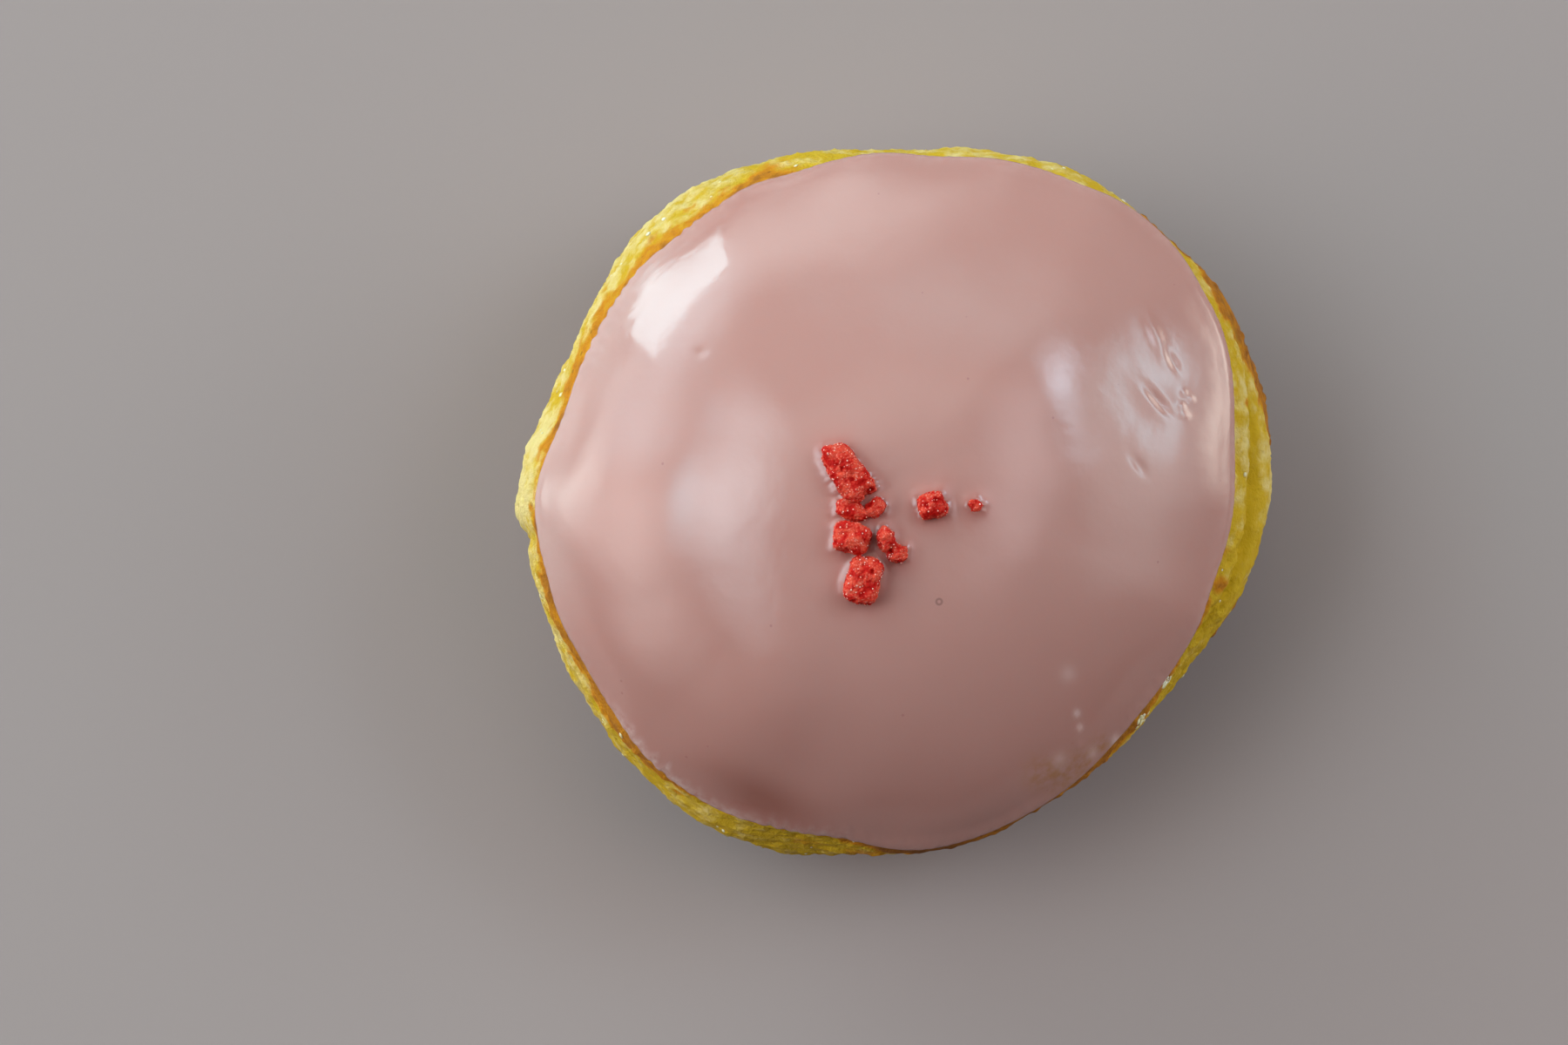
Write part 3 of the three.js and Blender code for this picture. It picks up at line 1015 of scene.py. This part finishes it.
# Waves of that edge: seed, fewest and most round the bun and how many, and their height in
# stations.
FINE_WAVES, FINE_HEIGHT = (5, 90, 190, 14), 0.012
SLOW_WAVES, SLOW_HEIGHT = (8, 14, 34, 8), 0.01
SLOW_LEAST = 0.3  # how much of the slow waves a smooth edge has
LINING = 0.02  # how far the frosting's lining lies off the dough
EDGE_BULGE = 0.015  # how far the edge bulges out, in stations
EDGE_ROUND = 0.9  # how round the edge is; 1 is a quarter of an ellipse
THICKENS_OVER = 2.5  # mm over which the frosting gains its full thickness
EVENS_OVER = 0.8  # mm over which its rows even out the ragged edge


def frosting_edge(angle):
    """The station where the frosting ends."""
    ragged = RAGGED_ALL_ROUND
    for low, high, soft, level in RAGGED:
        ragged = ragged + level * window(angle, low, high, soft)
    fine = seeded_waves(angle, *FINE_WAVES) * FINE_HEIGHT * ragged
    slow = seeded_waves(angle, *SLOW_WAVES) * SLOW_HEIGHT * (SLOW_LEAST + ragged)
    return EDGE + fine + slow


def length_from_edge(station):
    """Millimetres of skin between the frosting's mean edge and a station."""
    band = (np.minimum(station, 2) - EDGE) * BAND_LENGTH
    return band + np.maximum(station - 2, 0) * CROWN_LENGTH


# Small dents and ridges of the frosting: place, half length and width, direction in degrees
# and rise.
Mark = namedtuple("Mark", "x y long wide turn rise")
MARKS = [
    Mark(28.8, 8.9, 3.0, 1.7, -48, 0.16),
    Mark(28.8, 8.9, 1.9, 0.5, -48, -0.24),
    Mark(28.8, 16.0, 2.4, 0.8, -65, 0.14),
    Mark(30.6, 13.4, 1.3, 0.4, -60, -0.14),
    Mark(26.6, 1.6, 1.3, 0.5, -50, -0.12),
    Mark(31.9, 9.8, 0.35, 0.35, 0, 0.14),
    Mark(32.7, 9.2, 0.35, 0.35, 0, 0.14),
    Mark(31.6, 8.3, 0.4, 0.35, 0, 0.14),
    Mark(31.9, 7.3, 0.5, 0.4, 0, 0.14),
    Mark(-20.7, 13.8, 0.7, 0.5, 0, -0.08),
    Mark(20, -27.1, 0.8, 0.3, 50, 0.12),
    Mark(20.3, -28.6, 0.5, 0.3, -30, 0.12),
]


def frosting_relief(points):
    """How far the small marks lift the frosting."""
    total = np.zeros(points.shape[:-1])
    for m in MARKS:
        dx, dy = points[..., 0] - m.x, points[..., 1] - m.y
        turn = math.radians(m.turn)
        along = dx * math.cos(turn) + dy * math.sin(turn)
        across = dy * math.cos(turn) - dx * math.sin(turn)
        total += m.rise * np.exp(-((along / m.long) ** 2) - (across / m.wide) ** 2)
    return total


def frosting_rings(settings, around):
    """Rings of the frosting's skin from the pole of its lining, round its edge, to the top
    of its outside, and what marks them."""
    angle = around_angles(around)
    edge = frosting_edge(angle)
    full = FROSTING + CLEARANCE
    bead = settings.edge_height / MM - THINNER_BY * window(angle, *THINNER)
    reach = settings.edge_reach / MM

    rings, outside, distance = [], [], []

    def ring(station, lift, shown, from_edge):
        """Adds a ring. shown says how much of the outside's relief it gets."""
        station = np.broadcast_to(station, edge.shape)
        skin = dough_skin(angle, station)
        lift = lift + frosting_relief(skin) * (shown >= 1)
        rings.append((skin + dough_normal(angle, station) * lift[..., None])[0])
        outside.append(np.full(around, shown))
        distance.append(np.full(around, from_edge) * MM)

    def thickness(station):
        """How thick the frosting is over a station."""
        away = np.maximum(length_from_edge(station), 0)
        return full - (full - bead) * np.exp(-away / THICKENS_OVER)

    for share in np.linspace(1, 0, 9):
        ring(edge + (3 - edge) * share, LINING, 0.0, 0.0)
    end = edge + reach / BAND_LENGTH
    for lean in np.linspace(0.12, 1, 8):
        turn = lean * math.pi / 2
        out = (1 - math.cos(turn)) * reach
        lift = LINING + (thickness(end) - LINING) * math.sin(turn) ** EDGE_ROUND
        station = edge - EDGE_BULGE * math.sin(2 * turn) + out / BAND_LENGTH
        ring(station, lift, 0.35 * lean, out)
    start = EDGE + reach / BAND_LENGTH
    # The rows lie closer near the middle, where the crumbs are.
    for share in np.concatenate([spread(0, 0.62, 78), spread(0.62, 1, 62)]):
        away = share * CROWN_LENGTH
        ragged = (edge - EDGE) * math.exp(-away / EVENS_OVER)
        station = start + (3 - start) * share + ragged
        ring(station, thickness(station), min(1.0, 0.4 + away), reach + away)
    return np.array(rings), {"outside": np.array(outside), "edge": np.array(distance)}


def over_frosting(settings):
    """A tree to cast rays against the frosting's outside."""
    rings, _ = frosting_rings(settings, GUIDE_AROUND)
    mesh = turned_mesh("Frosting guide", rings)
    guide = BVHTree.FromPolygons(
        [v.co for v in mesh.vertices], [tuple(p.vertices) for p in mesh.polygons]
    )
    bpy.data.meshes.remove(mesh)
    return guide


def height_over(guide, x, y):
    """Height of the frosting over a point of the section's plan, in mm of the section."""
    start = Vector(((x + SHIFT[0]) * MM, (y + SHIFT[1]) * MM, 0.2))
    hit = guide.ray_cast(start, Vector((0, 0, -1)))[0]
    return hit.z / MM - SHIFT[2]


def band_spots(points, table):
    """Soft spots of the band: direction in degrees, share of the way up, reach and level."""
    total = np.zeros(points.shape[:-1])
    for turn, up, reach, level in table:
        spot = dough_skin(math.radians(turn), 1 + up)
        total += level * falloff(np.linalg.norm(points - spot, axis=-1), reach)
    return total


# Rows of the crust's mesh: the station where each run ends and how many rows it has.
CRUST_ROWS = [(0.35, 12), (1, 34), (2, 56), (2.12, 5), (3, 12)]
WRAP_RADIUS = 40  # where the textures that follow the skin are wrapped round the bun
HIDDEN_OVER = 0.06  # stations below the frosting over which the crust's relief fades

# Where the band is browner, as band_spots takes it.
TOAST_SPOTS = [
    (111, 0.85, 2.6, 0.4), (116, 0.95, 1.6, 0.25), (124.5, 0.97, 0.9, 0.35),
    (133, 0.97, 0.8, 0.4), (136, 0.97, 0.8, 0.3), (143, 0.97, 1.0, 0.3),
    (150, 0.97, 0.9, 0.3), (13.4, 0.8, 0.7, 0.45), (-11, 0.99, 1.3, 0.45),
    (-16.5, 0.88, 1.2, 0.55), (-29, 0.97, 2.2, 0.25), (196, 0.95, 1.4, 0.35),
    (160, 0.9, 1.2, 0.2), (169, 0.88, 1.4, 0.25), (256, 0.7, 2.0, 0.2),
    (266, 0.5, 3.0, 0.4), (276, 0.4, 4.0, 0.45), (186, 0.9, 1.0, 0.3),
]


class DOUGHNUT_OT_crust(bpy.types.Operator):
    """Adds the fried crust, with the wrinkles and pores of its pale band"""

    bl_idname = "doughnut.crust"
    bl_label = "Crust"

    def execute(self, context):
        settings = context.scene.doughnut_crust
        stations = self.stations()
        angle = around_angles(AROUND)
        rings = dough_skin(angle, np.maximum(stations, 0))
        rings[0] = 0.0
        height = rings[..., 2]
        edge = dough_skin(angle, 2.0)[..., 2]
        top = WAIST_Z + (edge - WAIST_Z) * read_round(BAND_TOP, angle)
        over = np.where(stations > 2, 3.0, height - top)
        under = read_round(BAND_LOW, angle) - height
        open_air = np.clip((frosting_edge(angle) - 0.01 - stations) / HIDDEN_OVER, 0, 1)
        steps = np.linalg.norm(np.diff(rings, axis=0), axis=-1)
        climb = np.concatenate([np.zeros((1, AROUND)), np.cumsum(steps, axis=0)])
        turn = np.broadcast_to(angle, climb.shape)
        wrap = [WRAP_RADIUS * np.cos(turn), WRAP_RADIUS * np.sin(turn), climb]
        fried_below = 0.6 + 0.4 * slope(under, 4, 10)
        marks = {
            "beyond": np.maximum(over, under) * MM,
            "burn": np.where(over > under, read_round(BURN, angle), fried_below),
            "lie": fold_relief(turn, height) * MM,
            "cream": np.broadcast_to(read_round(CREAM, angle), climb.shape),
            "toast": band_spots(rings, TOAST_SPOTS),
            "bare": open_air * slope(height, 0.4, 3.4),
            "wrap": np.stack(wrap, axis=-1) * MM,
        }
        piece = place_mesh("fried_crust", turned_mesh("fried_crust", rings, marks))
        grow(
            piece,
            crust_tree(),
            Wrinkle_Height=settings.wrinkle_height,
            Pore_Depth=settings.pore_depth,
            Blister_Height=settings.blister_height,
            Wander=settings.wander,
            Material=crust_material(settings),
        )
        finish_piece(piece, "dough", "dough")
        return {"FINISHED"}

    def stations(self):
        """The rows of the crust's mesh, from the middle of the flat to the top."""
        runs, low = [[CENTRE, 0.0]], 0
        for high, count in CRUST_ROWS:
            runs.append(spread(low, high, count))
            low = high
        return np.concatenate(runs)[:, None]


class DOUGHNUT_OT_fruit(bpy.types.Operator):
    """Adds the dried fruit crumbs and the glinting grains on them"""

    bl_idname = "doughnut.fruit"
    bl_label = "Fruit crumbs"

    def execute(self, context):
        settings = context.scene.doughnut_fruit
        guide = over_frosting(context.scene.doughnut_frosting)
        blocks = bmesh.new()
        for number, crumb in enumerate(CRUMBS):
            self.add_block(blocks, crumb, number, height_over(guide, crumb.x, crumb.y))
        mesh = bpy.data.meshes.new("fruit_crumbs")
        blocks.to_mesh(mesh)
        blocks.free()
        piece = place_mesh("fruit_crumbs", mesh)
        remesh = piece.modifiers.new("Join", "REMESH")
        remesh.mode = "VOXEL"
        remesh.voxel_size = settings.voxel
        bake_modifiers(piece)
        material = fruit_material(settings)
        grow(piece, fruit_tree(), Pore_Depth=settings.pore_depth, Material=material)
        finish_piece(piece, "fruit_crumbs", "frosting")
        self.add_glints(piece.data)
        return {"FINISHED"}

    def add_block(self, blocks, crumb, number, height):
        """One crumb: a rounded block whose skin is knocked in and out by crossing waves."""
        made = bmesh.ops.create_icosphere(blocks, subdivisions=5, radius=1.0)
        half = np.array([crumb.long, crumb.wide, crumb.high]) / 2
        lift = SHIFT[2] + height + crumb.high / 2 - CRUMB_SINK
        place = Matrix.Translation(Vector((crumb.x + SHIFT[0], crumb.y + SHIFT[1], lift)))
        place = place @ Matrix.Rotation(crumb.turn, 4, "Z")
        for vert in made["verts"]:
            p = np.array(vert.co)
            reach = (np.abs(p) ** crumb.square).sum() ** (1 / crumb.square)
            knock = 1 + 0.045 * math.sin(4.1 * p[0] + 2.3 * p[2] + 1.7 * number)
            knock += 0.06 * math.sin(5.3 * p[1] - 3.1 * p[0] + 2.9 * number)
            vert.co = (place @ Vector(p * knock / reach * half)) * MM

    def add_glints(self, mesh):
        """Sugary grains scattered over the crumbs, pale so that they also paint the crumbs'
        glints.
        """
        piece = scatter(
            "fruit_glints",
            mesh,
            np.ones(len(mesh.vertices)),
            scatter_tree("Fruit Glints", 0.8),
            Density=1.5e6,
            Least_Size=0.04 * MM,
            Most_Size=0.1 * MM,
            Seed=11,
            Material=glint_material(),
        )
        finish_piece(piece, "fruit_crumbs", "frosting")


# Soft spots of the frosting, each with its place, reach and level: where the crust shows
# through it, and where dust and dried drops make it paler.
THIN_SPOTS = [
    (16.5, -32.2, 1.6, 1), (19, -32.3, 1.7, 1), (21.5, -31, 1.6, 1), (23.5, -29, 1.2, 1)
]
PALE_SPOTS = [
    (19.3, -21.4, 0.9, 0.4), (20.4, -25.6, 0.4, 0.9), (20.8, -27.1, 0.35, 0.8),
    (25.2, -28.4, 0.6, 0.9), (18.6, -30.6, 0.8, 0.4), (22.5, -29.8, 0.6, 0.5),
]
SHADE_PATCH_AT = (-14.6, -35.2)  # the middle of a patch of painted shade near the edge
SHADE_PATCH_LONG, SHADE_PATCH_WIDE = 6.0, 2.6  # its half length and width
SHADE_PATCH_SLANT = 0.35  # how far it falls for each mm to the right
# Stretches round the bun, from and to in degrees and softness: the dry edge, the front where
# shade is painted, and the left edge where a highlight is painted.
DRY_EDGE = (224, 256, 8)
SHADED_FRONT = (225, 315, 40)
LIT_LEFT_EDGE = (140, 190, 15)
FRONT_FROM, FRONT_FULL = 14, 36  # where the front's painted shade starts and is full, from the middle
LIT_EDGE_REACH = 4.0  # how far in from the left edge the painted highlight reaches


def crown_spots(x, y, table, total=0.0):
    """Adds soft spots of the frosting to a total."""
    for middle_x, middle_y, reach, level in table:
        total = total + level * falloff(np.hypot(x - middle_x, y - middle_y), reach)
    return total


class DOUGHNUT_OT_frosting(bpy.types.Operator):
    """Adds the frosting, drawn up round the crumbs"""

    bl_idname = "doughnut.frosting"
    bl_label = "Frosting"

    def execute(self, context):
        settings = context.scene.doughnut_frosting
        rings, marks = frosting_rings(settings, AROUND)
        marks.update(self.tints(rings[..., 0], rings[..., 1], marks["edge"] / MM))
        piece = place_mesh("pink_frosting", turned_mesh("pink_frosting", rings, marks))
        grow(
            piece,
            frosting_tree(),
            Crumbs=bpy.data.objects["fruit_crumbs"],
            Swell_Height=settings.swell_height,
            Ripple_Height=settings.ripple_height,
            Rim_Height=settings.rim_height,
            Material=frosting_material(settings),
        )
        finish_piece(piece, "frosting", "frosting")
        return {"FINISHED"}

    def tints(self, x, y, from_edge):
        """How dry and thin each place of the frosting is, how much shade is painted on it, and
        how pale it is from dust, dried drops and a highlight painted along its left edge.
        """
        angle = np.arctan2(y, x)
        right, down = x - SHADE_PATCH_AT[0], y - SHADE_PATCH_AT[1]
        patch = np.hypot(right / SHADE_PATCH_LONG, (down + SHADE_PATCH_SLANT * right) / SHADE_PATCH_WIDE)
        outer = slope(np.hypot(x, y), FRONT_FROM, FRONT_FULL)
        front = window(angle, *SHADED_FRONT) * outer
        # A highlight painted along the left edge, added to the paler spots.
        pale = 0.5 * window(angle, *LIT_LEFT_EDGE) * falloff(from_edge, LIT_EDGE_REACH)
        return {
            "dry": 0.1 + 0.8 * window(angle, *DRY_EDGE),
            "thin": crown_spots(x, y, THIN_SPOTS),
            # The dull mark is shade painted over the front and on a patch near the edge.
            "dull": 0.35 * front + 0.7 * falloff(patch, 1),
            "pale": crown_spots(x, y, PALE_SPOTS, pale),
        }


# Clusters of flecks, as band_spots takes them.
FLECK_SPOTS = [
    (18, 0.9, 0.5, 1), (14, 0.75, 0.4, 1), (9.5, 0.93, 0.45, 1), (4, 0.95, 0.4, 1),
    (0.5, 0.93, 0.4, 1), (-4, 0.95, 0.35, 1), (-14.5, 0.94, 0.45, 1), (-35, 0.72, 0.6, 4),
    (-42.5, 0.75, 0.5, 4), (-44, 0.9, 0.3, 2), (-47.5, 0.92, 0.4, 2), (100, 0.92, 0.4, 1),
    (105, 0.85, 0.3, 1), (133, 0.7, 0.4, 1), (142, 0.6, 0.4, 1), (170, 0.7, 0.35, 1),
    (197, 0.6, 0.4, 1), (218, 0.5, 0.4, 1), (222, 0.75, 0.3, 1), (236, 0.4, 0.35, 1),
    (243, 0.5, 0.35, 1), (264, 0.85, 0.3, 1),
]
DUSTING = 0.003  # how thick a fine dusting lies on the band
DUSTING_REACH = 2.5  # it is thickest this far inside the band's border, and reaches as far


class DOUGHNUT_OT_flecks(bpy.types.Operator):
    """Adds the flecks of flour and sugar on the band"""

    bl_idname = "doughnut.flecks"
    bl_label = "Flecks"

    def execute(self, context):
        crust = bpy.data.objects["fried_crust"].data
        count = len(crust.vertices)
        place, beyond, bare = np.zeros(count * 3), np.zeros(count), np.zeros(count)
        crust.vertices.foreach_get("co", place)
        crust.attributes["beyond"].data.foreach_get("value", beyond)
        crust.attributes["bare"].data.foreach_get("value", bare)
        place = place.reshape(-1, 3) / MM - SHIFT
        cover = DUSTING * falloff(beyond / MM + DUSTING_REACH, DUSTING_REACH)
        cover += band_spots(place, FLECK_SPOTS)
        piece = scatter(
            "flour_flecks",
            crust,
            cover * (bare > 0.9),
            scatter_tree("Flour Flecks", 0.35),
            Density=4.0e6,
            Least_Size=0.12 * MM,
            Most_Size=0.34 * MM,
            Seed=4,
            Material=fleck_material(),
        )
        finish_piece(piece, "flecks")
        return {"FINISHED"}


FLOOR_HALF = 8.0  # in metres
CAMERA_ELEVATION = math.radians(85)
CAMERA_AIM = (-12.65, -2.4, 17.0)  # the doughnut lies right of the middle of the view
LIGHTS_AIM = (0.0, 0.0, 0.03)  # in metres

# Soft lights: direction and elevation in degrees, size and distance in metres, whether the
# glow fades towards the rim, and radiance by colour.
SoftBox = namedtuple("SoftBox", "name turn rise wide high away fades glow")
SOFT_BOXES = [
    SoftBox("Window", 137.5, 13, 0.56, 0.3, 1.2, False, (5.2, 7.7, 8.1)),
    SoftBox("Window glow", 142, 22, 1.3, 0.9, 1.2, True, (3.5, 5.0, 5.5)),
    SoftBox("Window left low", 168, 12, 0.9, 0.32, 1.2, True, (4.3, 5.2, 5.1)),
    SoftBox("Window left high", 172, 43, 1.0, 0.38, 1.2, True, (1.4, 3.5, 4.2)),
    SoftBox("Window right high", 27, 46, 0.83, 0.42, 1.2, True, (6.0, 8.2, 9.8)),
    SoftBox("Window right middle", 20, 29, 0.83, 0.32, 1.2, True, (2.8, 5.4, 6.4)),
    SoftBox("Window right low", 15, 10, 1.1, 0.48, 1.2, True, (8.0, 7.8, 7.0)),
    SoftBox("Back wall", 108, 22, 2.9, 1.45, 2.0, True, (2.9, 3.3, 3.3)),
    SoftBox("Left wall", 185, 25, 2.9, 1.75, 2.0, True, (4.2, 4.0, 3.9)),
    SoftBox("Right wall", 5, 30, 2.25, 1.75, 2.0, True, (2.7, 3.0, 3.0)),
    SoftBox("Left ceiling", 175, 55, 2.55, 1.3, 2.0, True, (5.5, 6.7, 7.2)),
    SoftBox("Back ceiling", 80, 45, 2.55, 1.3, 2.0, True, (0.6, 1.3, 1.4)),
    SoftBox("Right ceiling", 10, 62, 2.0, 1.3, 2.0, True, (2.7, 2.5, 2.6)),
    SoftBox("Ceiling", 110, 72, 2.55, 1.6, 2.0, True, (1.3, 1.3, 1.2)),
]


class DOUGHNUT_OT_stage(bpy.types.Operator):
    """Adds the floor, the lights and the camera"""

    bl_idname = "doughnut.stage"
    bl_label = "Stage"

    def execute(self, context):
        settings = context.scene.doughnut_stage
        self.add_floor(settings)
        self.add_camera(context.scene, settings)
        for box in SOFT_BOXES:
            self.add_light(context.scene, box)
        world = bpy.data.worlds.new("Studio")
        world.use_nodes = True
        world.node_tree.nodes["Background"].inputs["Strength"].default_value = 0.0
        context.scene.world = world
        context.scene.view_settings.view_transform = "Standard"
        return {"FINISHED"}

    def add_floor(self, settings):
        """A wide square floor."""
        mesh = bpy.data.meshes.new("floor")
        low, high = -FLOOR_HALF, FLOOR_HALF
        corners = [(low, low, 0), (high, low, 0), (high, high, 0), (low, high, 0)]
        mesh.from_pydata(corners, [], [(0, 1, 2, 3)])
        mesh.materials.append(floor_material(settings))
        place_mesh("floor", mesh)

    def add_camera(self, scene, settings):
        """A camera that looks almost straight down."""
        way = Vector((0, -math.cos(CAMERA_ELEVATION), math.sin(CAMERA_ELEVATION)))
        data = bpy.data.cameras.new("Camera")
        data.lens = settings.lens
        data.sensor_width = 36.0
        camera = bpy.data.objects.new("Camera", data)
        camera.location = Vector(CAMERA_AIM) * MM + way * settings.distance
        camera.rotation_euler = (math.pi / 2 - CAMERA_ELEVATION, 0, 0)
        scene.collection.objects.link(camera)
        scene.camera = camera

    def add_light(self, scene, box):
        """A soft rectangular light that faces the doughnut."""
        turn, rise = math.radians(box.turn), math.radians(box.rise)
        level = math.cos(rise)
        way = Vector((math.cos(turn) * level, math.sin(turn) * level, math.sin(rise)))
        most = max(box.glow)
        data = bpy.data.lights.new(box.name, "AREA")
        data.shape = "RECTANGLE"
        data.size, data.size_y = box.wide, box.high
        data.energy = math.pi * box.wide * box.high * most
        data.color = [part / most for part in box.glow]
        if box.fades:
            self.fade(data)
        light = bpy.data.objects.new(box.name, data)
        light.location = Vector(LIGHTS_AIM) + way * box.away
        light.rotation_euler = way.to_track_quat("Z", "Y").to_euler()
        scene.collection.objects.link(light)

    def fade(self, data):
        """Lets a light's glow fall smoothly from its middle to its rim."""
        data.use_nodes = True
        tree = data.node_tree
        spot = add(tree, "ShaderNodeNewGeometry").outputs["Parametric"]
        off = distance_to(tree, scaled(tree, spot, (2.0, 2.0, 0.0)), (1.0, 1.0, 0.0))
        glow = ramp(tree, off, 0.0, 1.0, 1.0, 0.0)
        tree.links.new(glow, tree.nodes["Emission"].inputs["Strength"])


class DOUGHNUT_PT_panel(bpy.types.Panel):
    """Lists the settings and the pieces"""

    bl_idname = "DOUGHNUT_PT_panel"
    bl_label = "Frosted Doughnut"
    bl_space_type = "VIEW_3D"
    bl_region_type = "UI"
    bl_category = "Doughnut"

    def draw(self, context):
        for attribute_name, _, operators in PIECES:
            settings = getattr(context.scene, attribute_name)
            box = self.layout.box()
            for label in settings.__annotations__:
                box.prop(settings, label)
            for operator in operators:
                box.operator(operator.bl_idname)


PIECES = [
    ("doughnut_crust", CrustSettings, [DOUGHNUT_OT_crust, DOUGHNUT_OT_flecks]),
    ("doughnut_fruit", FruitSettings, [DOUGHNUT_OT_fruit]),
    ("doughnut_frosting", FrostingSettings, [DOUGHNUT_OT_frosting]),
    ("doughnut_stage", StageSettings, [DOUGHNUT_OT_stage]),
]


def register():
    for attribute_name, settings, operators in PIECES:
        bpy.utils.register_class(settings)
        setattr(bpy.types.Scene, attribute_name, bpy.props.PointerProperty(type=settings))
        for operator in operators:
            bpy.utils.register_class(operator)
    bpy.utils.register_class(DOUGHNUT_PT_panel)


def unregister():
    bpy.utils.unregister_class(DOUGHNUT_PT_panel)
    for attribute_name, settings, operators in reversed(PIECES):
        for operator in reversed(operators):
            bpy.utils.unregister_class(operator)
        delattr(bpy.types.Scene, attribute_name)
        bpy.utils.unregister_class(settings)


def main():
    """Makes the pieces in order."""
    register()
    bpy.ops.doughnut.crust()
    bpy.ops.doughnut.fruit()
    bpy.ops.doughnut.frosting()
    bpy.ops.doughnut.flecks()
    bpy.ops.doughnut.stage()


if __name__ == "__main__":
    main()
